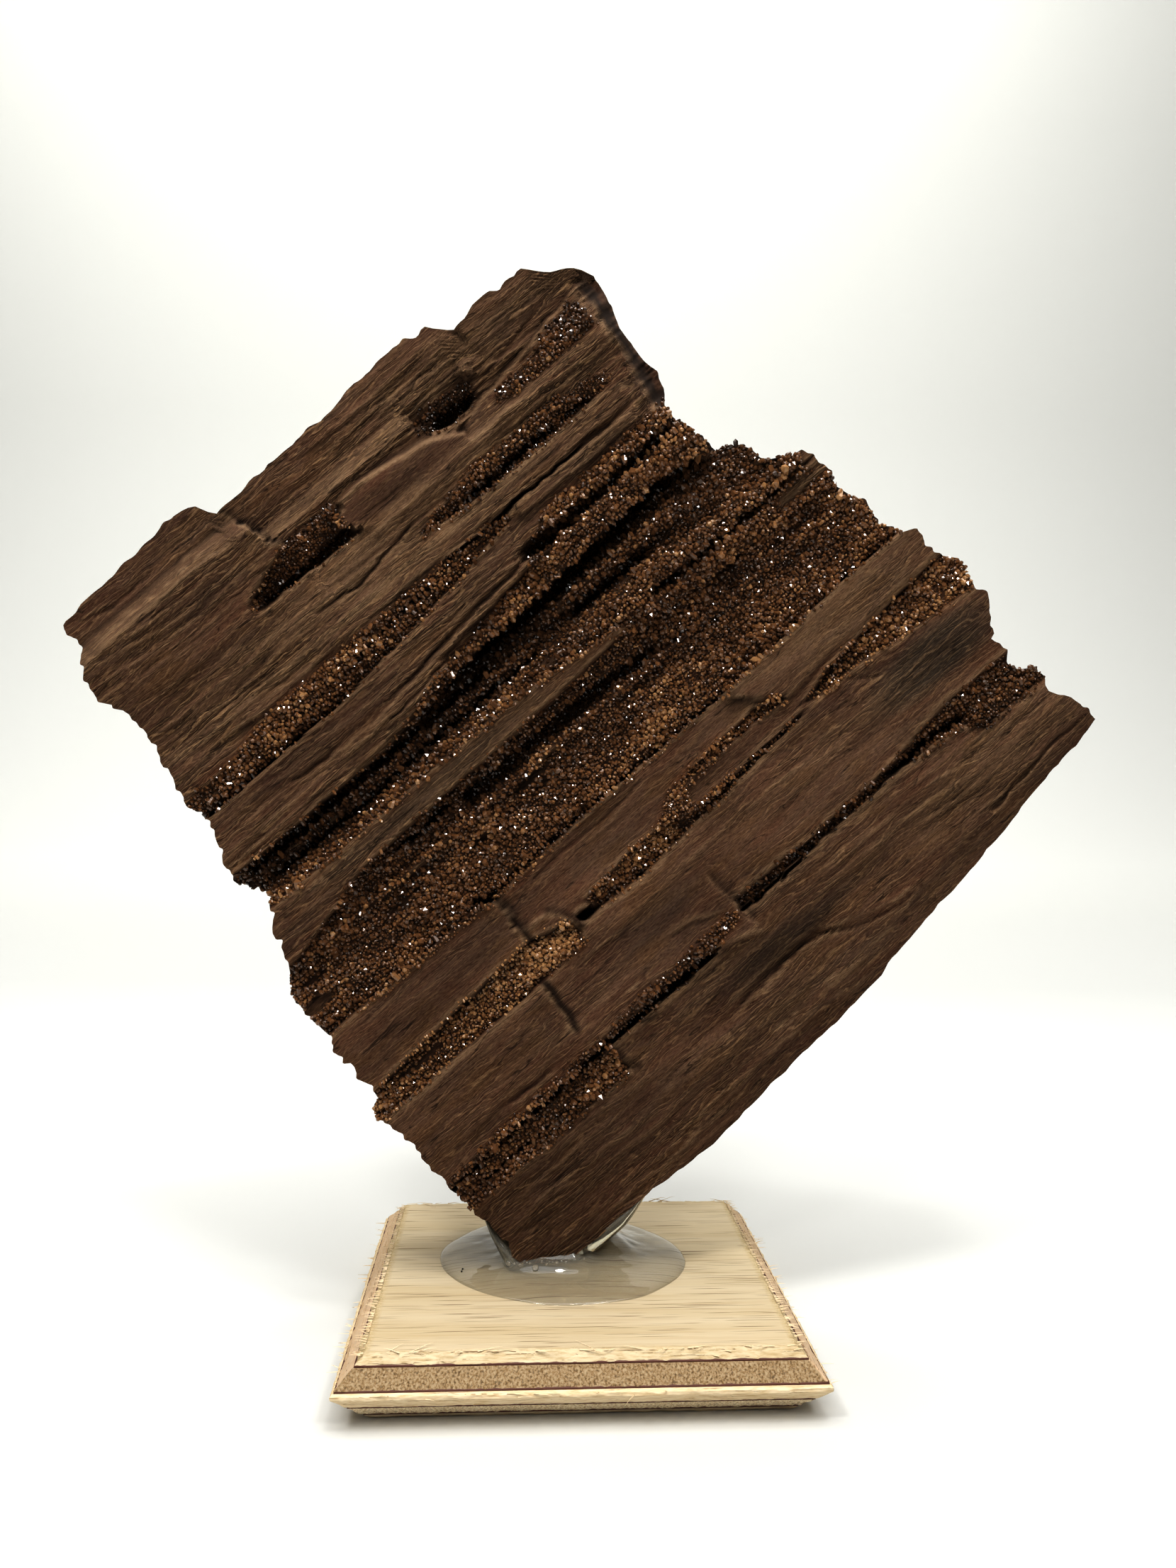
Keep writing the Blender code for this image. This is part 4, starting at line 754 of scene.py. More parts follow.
def veneer_finish(name, pale, dark, pore, cut, fluff, grain_depth, turn):
    """Birch veneer: smooth, with long thin dark pores along its grain.

    Attributes on the board's edges: "cut" where the saw crossed the fibres, which shows their ends as brown
    grains, and "torn" where it left the wood fuzzy and a little grey.
    """
    material, tree, shader = new_finish(name, Roughness=0.62, Specular_IOR_Level=0.25)
    place = add(tree, "TexCoord", out="Object")

    def fibre(length, width, detail):
        """Noise drawn out along the veneer's grain, sizes in millimetres."""
        turned = along_grain(tree, place, (0, 0, BASE_TURN + turn), length, width)
        return add(tree, "TexNoise", {"Vector": turned, "Scale": 1.0, "Detail": detail, "Roughness": 0.55})

    def tint(colour, noise, stops, share):
        """The colour multiplied by a ramp of the noise."""
        shade = add(tree, "ValToRGB", {"Fac": noise}, stops)
        return add(tree, "Mix", {0: share, 6: colour, 7: shade}, out=2, data_type="RGBA",
                   blend_type="MULTIPLY")

    wide, lines, pores = fibre(60, 5, 3), fibre(22, 0.5, 3), fibre(14, 0.27, 1)
    grains, fuzz = fibre(0.34, 0.34, 2), fibre(2.4, 0.35, 3)
    colour = add(tree, "ValToRGB", {"Fac": wide}, [(0.36, dark), (0.62, pale)])
    colour = tint(colour, lines, [(0.3, "#dccbb0"), (0.52, WHITE)], 0.25)
    colour = tint(colour, pores, [(0.31, pore), (0.36, WHITE)], 0.7)
    sawn = tint(cut, grains, [(0.34, "#857255"), (0.48, "#dccbaf"), (0.62, WHITE)], grain_depth)
    cut_share = add(tree, "Attribute", out="Fac", attribute_name="cut")
    colour = add(tree, "Mix", {0: cut_share, 6: colour, 7: sawn}, out=2, data_type="RGBA")
    torn = add(tree, "Attribute", out="Fac", attribute_name="torn")
    fuzzy = tint(colour, fuzz, [(0.3, "#e6dcc8"), (0.46, "#f8f4ec"), (0.6, WHITE)], 0.8)
    pale_fuzz = add(tree, "MapRange", {0: fuzz, 1: 0.4, 2: 0.65, 3: 0.0, 4: 0.4})
    share = add(tree, "Math", {0: torn, 1: pale_fuzz}, operation="MULTIPLY")
    for amount, over in ((torn, fuzzy), (share, fluff)):
        colour = add(tree, "Mix", {0: amount, 6: colour, 7: over}, out=2, data_type="RGBA")
    rough = add(tree, "Mix", {0: torn, 2: pores, 3: fuzz})
    bump = add(tree, "Bump", {"Height": rough, "Strength": 0.5, "Distance": 0.1 * MM})
    tree.links.new(colour, shader.inputs["Base Color"])
    tree.links.new(bump, shader.inputs["Normal"])
    return material


# ---------------- quartz

SHAKE, LEAN = 0.36, 0.36  # the most that points stray, in spacings, and the spread of their lean


def grow_druse(name, upper, lower, spacing, radius, tone, finish, rng):
    """A crust of quartz points on the stone, as one mesh.

    A point is a six-sided prism that ends in a six-sided pyramid. They stand on a shaken grid, lean at
    random from the stone's own normal, and are set a little into it.
    """
    s, t = np.meshgrid(np.arange(upper[0][0], upper[-1][0], spacing),
                       np.arange(min(p[1] for p in upper) - 1, max(p[1] for p in lower) + 1, spacing))
    s, t = (a.ravel() + rng.uniform(-SHAKE, SHAKE, a.size) * spacing for a in (s, t))
    chance = in_druse(s, t, shifted(upper, -0.6), shifted(lower, 0.8), CRUST_FRINGE)
    keep = rng.uniform(0, 1, s.size) < chance * 1.5
    keep &= (s > line(LEFT_EDGE, t)) & (s < line(RIGHT_EDGE, t))
    s, t, chance = s[keep], t[keep], chance[keep]
    count, reach = len(s), 0.45  # the differences are taken over this reach either way

    def surface(s, t):
        """Places on the stone, for the two differences whose cross product is its normal."""
        return face_point(s, t, worked_relief(s, t))

    height = worked_relief(s, t)
    place = face_point(s, t, height)
    along = surface(s + reach, t) - surface(s - reach, t)
    down = surface(s, t + reach) - surface(s, t - reach)
    axis = unit(unit(np.cross(down, along)) + LEAN * rng.normal(0, 1, (count, 3)))
    side = unit(np.cross(axis, rng.normal(0, 1, (count, 3))))
    other = np.cross(axis, side)

    size = radius * np.exp(rng.normal(0, 0.22, count)) * (0.7 + 0.3 * np.minimum(chance, 1))
    size *= 1 + 0.2 * lattice(s / 6, t / 3, 21)
    stand = size * rng.uniform(0.3, 2.0, count)
    turn = turns(6)
    ring = (side[:, None] * np.cos(turn)[:, None] + other[:, None] * np.sin(turn)[:, None])
    ring *= size[:, None, None] * rng.uniform(0.82, 1.12, (count, 6, 1))
    foot = place[:, None] + ring * 0.9 - (0.6 * size)[:, None, None] * axis[:, None]
    shoulder = place[:, None] + ring + stand[:, None, None] * axis[:, None]
    point = place + (stand + size * rng.uniform(0.6, 1.1, count))[:, None] * axis
    point += (size * rng.uniform(-0.4, 0.4, count))[:, None] * side
    points = np.concatenate([foot, shoulder, point[:, None]], 1).reshape(-1, 3)

    k, corners = np.arange(6), 13  # six round the foot, six round the shoulder and the point
    k2 = (k + 1) % 6
    sides, caps = np.stack([k, k2, k2 + 6, k + 6], 1), np.stack([k + 6, k2 + 6, 0 * k + 12], 1)
    faces = [repeated(part, count, corners) for part in (sides, caps, k[None, ::-1])]
    shade = tone + rng.normal(0, 0.16, count) + 0.22 * lattice(s / 8, t / 2, 22)
    # Painted shade and light: points that lie deep are darker, those that stand high a little lighter.
    shade += np.clip(0.1 * (height + 2.5), -0.35, 0.1)  # darker where they lie deep
    piece = make_piece(name + "_points", points, faces, finish, smooth=False,
                       marks={"tone": np.repeat(shade, corners)})
    on_root(piece, "quartz", name)


# ---------------- the stone

# s of the outer columns and t of the outer rows, before they bend to the outline.
FIRST_COLUMN, LAST_COLUMN, FIRST_ROW, LAST_ROW = -60.0, 78.0, -85, 60
TOP_WARP, FOOT_WARP = -68.0, 44.0  # rows beyond these bend to follow the upper and lower edge
LEFT_LEAN, RIGHT_LEAN = 40, 75  # columns within these of the broken ends lean to follow them
FACE_ROWS, FACE_COLUMNS = 496, 148  # one less than each is a multiple of COARSEN
COARSEN = 3  # the back has one point for this many of the face, and the seam joins them three to one
SIDE_RINGS = 12
BREAKS = (-24.5, -13.5, 9, 33, 37.5, 58.5)  # s of ends that break across the grain, with closer columns
ROW_DENSITY = [(-85, 1.25), (-12, 1.25), (16, 0.9), (60, 0.75)]  # more rows where the face is most fibrous
BACK_STEP_AT, BACK_STEP_DOWN = -20, 1.3  # the back steps down right of this s
# Height of the back across the grain: worn ledges.
BACK_PROFILE = [(-85, -7), (-76, -1.5), (-58, 0), (-56, -2.2), (-36, -1.2), (-33, 1.4), (-12, 2),
    (-8, -0.4), (21, -0.8), (24, 1.2), (44, 0.6), (48, -1.4), (60, -5)]
# Patches of grey stone on the face: (centre, reach, strength).
GREY_PATCHES = [((64, 21), (16, 5.5), 0.75), ((12, 42), (16, 3), 0.35), ((-4, 24), (14, 4), 0.3),
    ((40, -46), (14, 3), 0.3), ((-30, 8), (16, 5), 0.2), ((-22, -18.5), (34, 2.2), 0.45)]
# Paler and darker patches: (centre, reach, strength).
PALE_PATCHES = [((5, -56), (60, 7), 0.3), ((55, 5), (34, 5), 0.3), ((35, -75), (34, 8), 0.2),
    ((-10, -18.5), (44, 3), 0.22), ((58, 43), (34, 7), 0.25), ((38, 22), (30, 6), 0.15),
    ((5, -50), (60, 2.5), 0.2), ((-10, -32), (36, 2.5), 0.15)]
# The first darker patch, along the fold, is painted shade.
DARK_PATCHES = [((10, 42.4), (18, 3.4), 0.35), ((-38, 48), (26, 9), 0.25), ((14, -64), (12, 3), 0.15),
    ((66, 21), (16, 6), 0.25), ((-30, -38), (26, 3), 0.25), ((-40, 7), (20, 6), 0.1)]
# Strips painted paler along edges and slopes that face up, a painted highlight: (s, t) points, half width
# and strength.
PALE_STRIPS = [
    ([(-52, -76.3), (-14, -77.2)], 1.5, 0.36),
    ([(-16, -71.6), (6, -71.4), (30, -72)], 1.5, 0.55),
    ([(1, -66.6), (6, -68), (20, -66.6), (27, -63.6)], 0.5, 0.7),
    ([(-50, -51.6), (-10, -51.2), (50, -51.6)], 0.9, 0.35),
    ([(5, -61), (58, -61.5)], 0.9, 0.25),
    ([(-30, -57), (10, -58)], 2.2, 0.2),
    ([(-58, -19.8), (-25, -20)], 0.9, 0.25),
    ([(30, 3.5), (76, 1.8)], 1.2, 0.15),
    ([(60, -17), (73, -17)], 1.8, 0.4),
]
# Edges that break across the grain: (s, t) points, the strength of a painted highlight along the edge, and
# that of a painted shadow on the side below it.
BREAK_EDGES = [
    ([(-15.5, -80.3), (-14.3, -79), (-14, -77), (-12.8, -75), (-12.4, -73), (-12, -70),
        (-10.5, -69)], 0.8, 0.5),
    ([(-25.3, 1.8), (-24.2, 2.6), (-22.3, 4), (-22.1, 6.5), (-22.6, 9), (-22.3, 10.5),
        (-22.8, 12.6)], 1.0, 1.0),
    ([(-25.8, 20.4), (-25.5, 22), (-26.1, 25), (-25.9, 27), (-26.8, 30)], 1.0, 0.9),
    ([(-17, 11), (-15.3, 13), (-14.5, 15), (-14, 17)], 1.0, 0.5),
    ([(57.9, -69.2), (57.7, -66), (58.4, -62), (57.6, -58)], 0.7, 0.2),
    ([(59.4, -69.5), (59.3, -64), (58.6, -60), (58, -54), (57, -49), (56, -44)], 0.9, 0.8),
    ([(53.4, -51.6), (55, -50), (54.4, -48), (53.4, -45.6)], 0.6, 0.4),
    ([(31, 2), (32.2, 4), (36, 7.4), (39.5, 9.6)], 0.1, 0.4),
    ([(8.9, 25), (9, 28), (9.6, 31), (10, 35)], 0.3, 0.5),
    ([(-24, 37.5), (-23.8, 39.5), (-22.6, 42)], 0.2, 0.5),
]
# Scuffs, pale and broken up by the grain: (centre, reach, strength).
SCUFFS = [((-44, -19), (2.2, 0.8), 0.9), ((-36, -19.5), (2.6, 0.7), 0.9), ((3, 53), (3.5, 0.8), 0.9),
    ((26, 52.5), (3, 0.6), 0.9), ((14, 52), (2, 0.5), 0.9), ((-14, 31), (2.5, 0.5), 0.9)]


def spaced(fine, density, count):
    """count places from the first to the last of fine, as close to one another as the density asks."""
    share = np.concatenate([[0], np.cumsum((density[1:] + density[:-1]) / 2)])
    return np.interp(np.linspace(0, 1, count), share / share[-1], fine)


def face_grid():
    """(s, t) of the face's points, with the outer ones on its outline and the others leaning towards it."""
    fine = np.linspace(FIRST_COLUMN, LAST_COLUMN, 2000)
    closer = sum(np.exp(-((fine - end) / 1.4) ** 2) for end in BREAKS)
    columns = spaced(fine, 1 + 1.8 * closer, FACE_COLUMNS)[None, :]
    fine = np.linspace(FIRST_ROW, LAST_ROW, 2000)
    rows = spaced(fine, line(ROW_DENSITY, fine), FACE_ROWS)[:, None]
    top_share = ramp(TOP_WARP - rows, TOP_WARP - FIRST_ROW)
    foot_share = ramp(rows - FOOT_WARP, LAST_ROW - FOOT_WARP)
    s = columns + 0 * rows
    for _ in range(3):  # each pass brings s and t closer to agreement
        top = line(TOP_EDGE, s) + 0.2 * lattice(s / 1.3, 0, 31) + 0.3 * lattice(s / 2.4, 0, 35)
        foot = line(BOTTOM_EDGE, s) + 0.2 * lattice(s / 1.6, 0, 32)
        bend = top_share * (top - TOP_WARP) + foot_share * (foot - FOOT_WARP)
        t = np.clip(rows, TOP_WARP, FOOT_WARP) + bend
        left = line(LEFT_EDGE, t[:, :1]) + 0.5 * lattice(t[:, :1] / 0.9, 0, 33)
        torn = 0.12 + 0.38 * ramp(t[:, -1:] + 44, 3)  # calmer beside the end break, which falls steeply
        right = line(RIGHT_EDGE, t[:, -1:]) + torn * lattice(t[:, -1:] / 0.9, 0, 34)
        s = (columns + (left - FIRST_COLUMN) * (1 - ramp(columns - FIRST_COLUMN, LEFT_LEAN))
             + (right - LAST_COLUMN) * (1 - ramp(LAST_COLUMN - columns, RIGHT_LEAN)))
    return s, t


def averaged(h, reach):
    """Mean of each point's neighbours across the grain, up to reach rows away."""
    padded = np.pad(h, ((reach + 1, reach), (0, 0)), mode="edge")
    total = np.cumsum(padded, axis=0)
    return (total[2 * reach + 1:] - total[:-2 * reach - 1]) / (2 * reach + 1)


def face_marks(s, t, h):
    """Wear on edges that stand out, painted highlights on broken edges and on strips that face up, rust
    beside the crystals, grey patches, and painted shade in the hollows and beside broken edges, over darker
    stone under the crusts and at the end break.
    """
    wear_and_highlight = np.clip((3.2 * (h - averaged(h, 3)) - 0.05) * (0.6 + 0.5 * lattice(s / 4, t / 1.2, 41)), 0, 0.6)
    shade = 0 * s
    for points, pale, dark in BREAK_EDGES:
        # A painted highlight along each broken edge, and a painted shadow just beside it.
        wear_and_highlight += pale * np.clip(1.3 - away_from(s, t, points) / 0.45, 0, 1) * (0.8 + 0.4 * lattice(s, t, 46))
        shade += dark * np.clip(1.2 - away_from(s - 0.9, t, points) / 0.9, 0, 1)
    # Painted light on strips that face up.
    for points, reach, strength in PALE_STRIPS:
        inside = np.clip(3 - 3 * np.abs(t - line(points, s)) / reach, 0, 1) * between_ends(s, points, 2)
        wear_and_highlight += strength * inside * (0.7 + 0.4 * lattice(s / 3, t / 0.5, 45))
    wear_and_highlight += patches(s, t, SCUFFS) * (lattice(s / 0.8, t / 0.3, 42) > 0)
    wear_and_highlight += patches(s, t, PALE_PATCHES) * (0.8 + 0.5 * lattice(s / 7, t / 1.3, 47))
    shade += patches(s, t, DARK_PATCHES)
    rust, crust = 0 * s, 0 * s
    for upper, lower, *_ in DRUSES.values():
        rust = np.maximum(rust, in_druse(s, t, shifted(upper, -1.4), shifted(lower, 1.4), CRUST_FRINGE))
        crust = np.maximum(crust, in_druse(s, t, upper, lower, 0.5))
    rust = rust * np.clip(0.3 + 0.5 * lattice(s / 9, t / 2.5, 43), 0, 1)
    end_face = ramp(s - line(END_BREAK, t) - 0.3, 0.8) * ramp(t - END_BREAK[0][0], 1) * ramp(-43 - t, 2)
    grains = 0.5 + 0.9 * lattice(s / 0.7, t / 0.6, 48)
    wear_and_highlight *= 1 - 0.85 * end_face * (grains < 0.9)
    shade += 0.6 * end_face * np.clip(grains, 0.3, 1)
    ash = np.clip(patches(s, t, GREY_PATCHES) + 0.25 * lattice(s / 25, t / 3, 44), 0, 1)
    # Painted shade: darker where the face lies below its neighbours across the grain, as in hollows.
    dark_stone_and_shade = np.clip(-0.5 * (h - averaged(h, 6)) - 0.1, 0, 0.6)
    dark_stone_and_shade = np.clip(np.maximum(dark_stone_and_shade + shade, 0.7 * crust), 0, 0.9)
    return {"fibrous": (fibrous(s, t) + 0.12) * (1 - end_face), "wear_and_highlight": np.clip(wear_and_highlight * (1 - crust), 0, 0.9),
            "rust": rust, "ash": ash * (1 - crust), "dark_stone_and_shade": dark_stone_and_shade}


def stone_back(s, t):
    """Places of the back's points: worn ledges along the grain, a step down to the right, and low waves."""
    back = face_point(s, t, 0 * s)
    rise = line(BACK_PROFILE, t + 0.8 * lattice(s / 12, t / 5, 51))
    rise = rise - BACK_STEP_DOWN * ramp(s - BACK_STEP_AT, 2)
    rise = rise + 0.5 * np.sin(0.23 * s + 0.4 * t) + 0.4 * lattice(s / 15, t / 2.2, 52)
    rise = rise + 0.3 * np.tanh(4 * lattice(s / 22, t / 3, 53))
    back[..., 1] = BACK_PLANE_Y + rise
    return back


def side_rings(near, far, s, t):
    """Rings of points round the sides, between the face's rim (near) and the back's (far).

    s and t are those of the face's rim. The rings are drawn inwards by ridges that follow the grain above
    and below, and by splinters at the broken ends.
    """
    share = (np.arange(1, SIDE_RINGS) / SIDE_RINGS)[:, None]
    corners = np.cumsum([0, FACE_COLUMNS - 1, FACE_ROWS - 1, FACE_COLUMNS - 1, FACE_ROWS - 1])
    place = np.interp(np.arange(len(near)), corners, range(5))  # 0 to 4 round the four sides
    with_grain = (place % 2 < 1)[None, :]
    depth = share * (BACK_PLANE_Y - FACE_PLANE_Y)
    ridges = 0.9 * np.abs(lattice(s / 25, depth / 2.4, 54)) + 0.35 * np.abs(lattice(s / 9, depth / 0.9, 55))
    splinters = 0.9 * np.abs(lattice(t / 2.2, depth / 5, 56))
    splinters = splinters + 0.6 * np.abs(lattice(t / 0.8, depth / 3, 57))
    calm = ramp(np.abs(place - np.round(place)), 0.03) * np.sin(math.pi * share) ** 0.4
    inward = (1 - np.abs(2 * share - 1)) * (1.2 + 0.9 * np.sin(5.1 * place) + 0.5 * np.sin(13.7 * place))
    inward = inward + calm * np.where(with_grain, ridges, splinters)
    rings = near * (1 - share[..., None]) + far * share[..., None]
    toward = (np.array([0, 0, FACE_CENTRE_Z]) - rings) * (1, 0, 1)
    return (rings + unit(toward) * inward[..., None]).reshape(-1, 3)


def stone(finish):
    """One closed mesh: the face's grid, rings of points round the sides, and the back's coarser grid.

    Each third point of the face's rim has its match on the back's.
    """
    s, t = face_grid()
    h = worked_relief(s, t)
    marks = face_marks(s, t, h)
    front = face_point(s, t, h).reshape(-1, 3)
    edge = rim(FACE_ROWS, FACE_COLUMNS)

    back = stone_back(s[::COARSEN, ::COARSEN], t[::COARSEN, ::COARSEN])
    back_rows, back_columns = back.shape[:2]
    back, back_edge = back.reshape(-1, 3), rim(back_rows, back_columns)
    # The back's rim, with points filled in until it has as many as the face's.
    around = len(edge)
    coarse = np.concatenate([back[back_edge], back[back_edge[:1]]])
    at = np.arange(around) / COARSEN
    far = np.stack([np.interp(at, np.arange(len(coarse)), coarse[:, k]) for k in range(3)], 1)
    rings = side_rings(front[edge], far, s.ravel()[edge], t.ravel()[edge])

    points = np.concatenate([front, rings, back])
    ring_start, back_start = len(front), len(front) + len(rings)
    numbers = np.concatenate([edge, ring_start + np.arange(len(rings))]).reshape(SIDE_RINGS, around)
    after = np.roll(numbers, -1, axis=1)
    sides = np.stack([a.ravel() for a in (numbers[:-1], after[:-1], after[1:], numbers[1:])], 1)
    last = numbers[-1]
    # The seam: each step of the back's rim (c0, c1) meets COARSEN steps of the last ring (f0 to f3).
    f0, f1, f2, f3 = last[::3], last[1::3], last[2::3], np.roll(last, -3)[::3]
    c0 = back_start + back_edge
    c1 = np.roll(c0, -1)
    seam = np.concatenate([np.stack(v, 1) for v in ((f0, f1, c0), (f1, c1, c0), (f1, f2, c1), (f2, f3, c1))])
    faces = [grid_faces(FACE_ROWS, FACE_COLUMNS), sides, seam,
             grid_faces(back_rows, back_columns, back_start)[:, ::-1]]
    plain = {"fibrous": 0.7, "wear_and_highlight": 0.12, "rust": 0.1, "ash": 0.15, "dark_stone_and_shade": 0.1}
    marks = {key: np.concatenate([m.ravel(), np.full(len(points) - len(front), plain[key])])
             for key, m in marks.items()}
    piece = make_piece("split_stone", points, faces, finish, marks=marks)
    piece.data.set_sharp_from_angle(angle=math.radians(60))
    on_root(piece, "petrified_wood", "petrified_wood")


# ---------------- hot glue

BASE_TOP_Z = 10.2
GLUE_CENTRE, GLUE_REACH = (-2.0, 3.4), (22.3, 21.3)
GLUE_FLOOR_Z = BASE_TOP_Z - 0.06  # it soaks a little into the veneer
STONE_FOOT = (-4.5, 4.5, 4.5, 9.5)  # middle and half size in x, then in y, of what stands in the glue
# Webs of glue that hang from the stone: (x, z, half thickness, middle in y, half width in y) down each.
GLUE_WEBS = {
    "hot_glue_right_web": [(16.4, 28.7, 0.1, 2, 1.5), (14.7, 26.8, 0.5, 2, 3.5), (12.5, 24.4, 1.1, 2, 6),
        (10.3, 22.0, 1.7, 2, 7.5), (8.0, 19.6, 2.3, 2.5, 8), (5.3, 17.4, 2.7, 3, 8),
        (2.6, 15.4, 3.2, 3.5, 8), (0.6, 13.4, 3.6, 4, 8), (-0.8, 11.2, 3.6, 4, 7)],
    "hot_glue_left_web": [(-16.4, 20.4, 0.1, -1, 1.5), (-15.6, 19.2, 0.5, -1, 3), (-14.1, 17.4, 1.1, -1, 5),
        (-12.4, 15.2, 1.5, -1, 6), (-10.8, 13.2, 2.2, 0, 7), (-9.6, 11.4, 2.8, 0, 7)],
}
# Bubbles along the stone's foot: (x, y, radius).
GLUE_BUBBLES = [(-11.3, -6.8, 0.6), (-9.3, -7.6, 0.42), (-6.6, -8.1, 0.58), (-8.6, -6.5, 0.35),
    (-2.9, -6.7, 0.32), (-1.3, -6.5, 0.26), (-10.3, -7.0, 0.3), (-12.1, -5.0, 0.38), (-4.6, -7.3, 0.26),
    (0.2, -6.1, 0.24), (-5.5, -6.6, 0.24), (-4.2, -6.5, 0.18), (-3.6, -6.6, 0.26), (-2.1, -6.3, 0.2),
    (-0.5, -6.0, 0.18), (-7.6, -7.2, 0.26), (-8.2, -6.8, 0.2), (-10.9, -5.4, 0.26), (1.1, -5.6, 0.2),
    (1.9, -5.4, 0.17)]
RIM_HEIGHT, CROWN_HEIGHT = 0.6, 1.0
MENISCUS_HEIGHT, MENISCUS_WIDTH = 2.6, 2.0
FOLD_AT, FOLD_WIDTH = 2.7, 0.9  # from the stone's foot
# Swells of the pool that meet the webs: (x, y), reach along each, and height.
GLUE_SWELLS = [((6.5, 3.5), (4.5, 8), 3.0), ((-11.5, 0), (3, 7), 1.4)]
# Specks of soot in the pool: (x, y, radius).
GLUE_SPECKS = [(-19.6, -5.2, 0.16), (-19.7, -6.0, 0.16)]


def glue_height(x, y, share):
    """Height of the pool above the veneer at a share of the way to its rim.

    A rounded rim, a low crown, long ripples, swells under the webs, and a meniscus that falls away from the
    stone's foot to a fold.
    """
    mx, hx, my, hy = STONE_FOOT
    off = np.hypot(np.maximum(np.abs(x - mx) - hx, 0), np.maximum(np.abs(y - my) - hy, 0))
    ripples = 0.35 * lattice(x / 6, y / 5, 62) + 0.12 * lattice(x / 1.8, y / 1.8, 63)
    fold = (0.5 + 0.5 * lattice(x / 3.5, y / 3.5, 65)) * np.exp(-((off - FOLD_AT) / FOLD_WIDTH) ** 2)
    swells = sum(high * np.exp(-((x - cx) / rx) ** 2 - ((y - cy) / ry) ** 2)
                 for (cx, cy), (rx, ry), high in GLUE_SWELLS)
    return (RIM_HEIGHT * (1 - share**16) + CROWN_HEIGHT * (1 - share**2) ** 0.5
            + (ripples + fold + swells) * (1 - share**3)
            + MENISCUS_HEIGHT * np.exp(-off / MENISCUS_WIDTH) * (1 - share**4))


def glue_pool(finish):
    """A pool on the veneer, as rings of points from the middle to the rim, and a flat floor."""
    rings, around = 70, 200
    share = (np.arange(1, rings + 1) / rings)[:, None] ** 0.8  # closer to one another near the rim
    angle = turns(around)
    ragged = 1 + 0.012 * lattice(angle * 3, 0, 61) + 0.02 * np.cos(2 * angle + 1)
    x = GLUE_CENTRE[0] + GLUE_REACH[0] * share * ragged * np.cos(angle)
    y = GLUE_CENTRE[1] + GLUE_REACH[1] * share * ragged * np.sin(angle)
    top = np.stack([x, y, GLUE_FLOOR_Z + glue_height(x, y, share)], -1).reshape(-1, 3)
    middle = [*GLUE_CENTRE, top[:around, 2].mean()]
    floor = top[-around:] * (1, 1, 0) + (0, 0, GLUE_FLOOR_Z - 0.05)  # gives the rim a thickness
    k = np.arange(around)
    centre = np.stack([0 * k, 1 + k, 1 + (k + 1) % around], 1)
    faces = [centre, grid_faces(rings + 1, around, 1, closed=True), (1 + rings * around + k)[None, ::-1]]
    piece = make_piece("hot_glue_pool", np.concatenate([[middle], top, floor]), faces, finish)
    on_root(piece, "hot_glue", "hot_glue")


def glue_web(name, path, finish):
    """A web as a flat tube: its section is an ellipse, across its path and along y, at each step of it."""
    steps, around = 40, 32
    angle, path = turns(around), np.array(path, float)
    u = np.linspace(0, len(path) - 1, steps)
    x, z, thick, y, wide = (np.interp(u, np.arange(len(path)), path[:, n])[:, None] for n in range(5))
    dx, dz = np.gradient(x[:, 0])[:, None], np.gradient(z[:, 0])[:, None]
    size = np.hypot(dx, dz)
    swell = 1 + 0.06 * lattice(u[:, None] / 4, 3 * np.cos(angle), 64)
    points = np.stack([x - dz / size * thick * swell * np.cos(angle), y + wide * swell * np.sin(angle),
                       z + dx / size * thick * swell * np.cos(angle)], -1).reshape(-1, 3)
    end = np.arange(around)[None]
    faces = [grid_faces(steps, around, closed=True), end[:, ::-1], (steps - 1) * around + end]
    on_root(make_piece(name, points, faces, finish), "hot_glue")


def balls_on_pool(name, spots, finish):
    """Small spheres centred on the pool's surface, in one mesh: rings of points between two poles."""
    x, y, radius = np.array(spots).T
    share = np.hypot((x - GLUE_CENTRE[0]) / GLUE_REACH[0], (y - GLUE_CENTRE[1]) / GLUE_REACH[1])
    centres = np.stack([x, y, GLUE_FLOOR_Z + glue_height(x, y, share)], -1)
    rows, columns = 9, 16
    down, turn = np.linspace(0, math.pi, rows + 2)[1:-1, None], turns(columns)
    ring = np.stack([np.sin(down) * np.cos(turn), np.sin(down) * np.sin(turn), np.cos(down) + 0 * turn], -1)
    shape = np.concatenate([[[0, 0, 1]], ring.reshape(-1, 3), [[0, 0, -1]]])
    points = (centres[:, None] + radius[:, None, None] * shape).reshape(-1, 3)
    k, last = np.arange(columns), 1 + rows * columns
    k2 = (k + 1) % columns
    caps = np.concatenate([np.stack([0 * k, 1 + k, 1 + k2], 1),
                           np.stack([0 * k + last, last - columns + k2, last - columns + k], 1)])
    belt = grid_faces(rows, columns, 1, closed=True)
    faces = [repeated(part, len(centres), len(shape)) for part in (belt, caps)]
    on_root(make_piece(name, points, faces, finish), "hot_glue")


# ---------------- plywood base

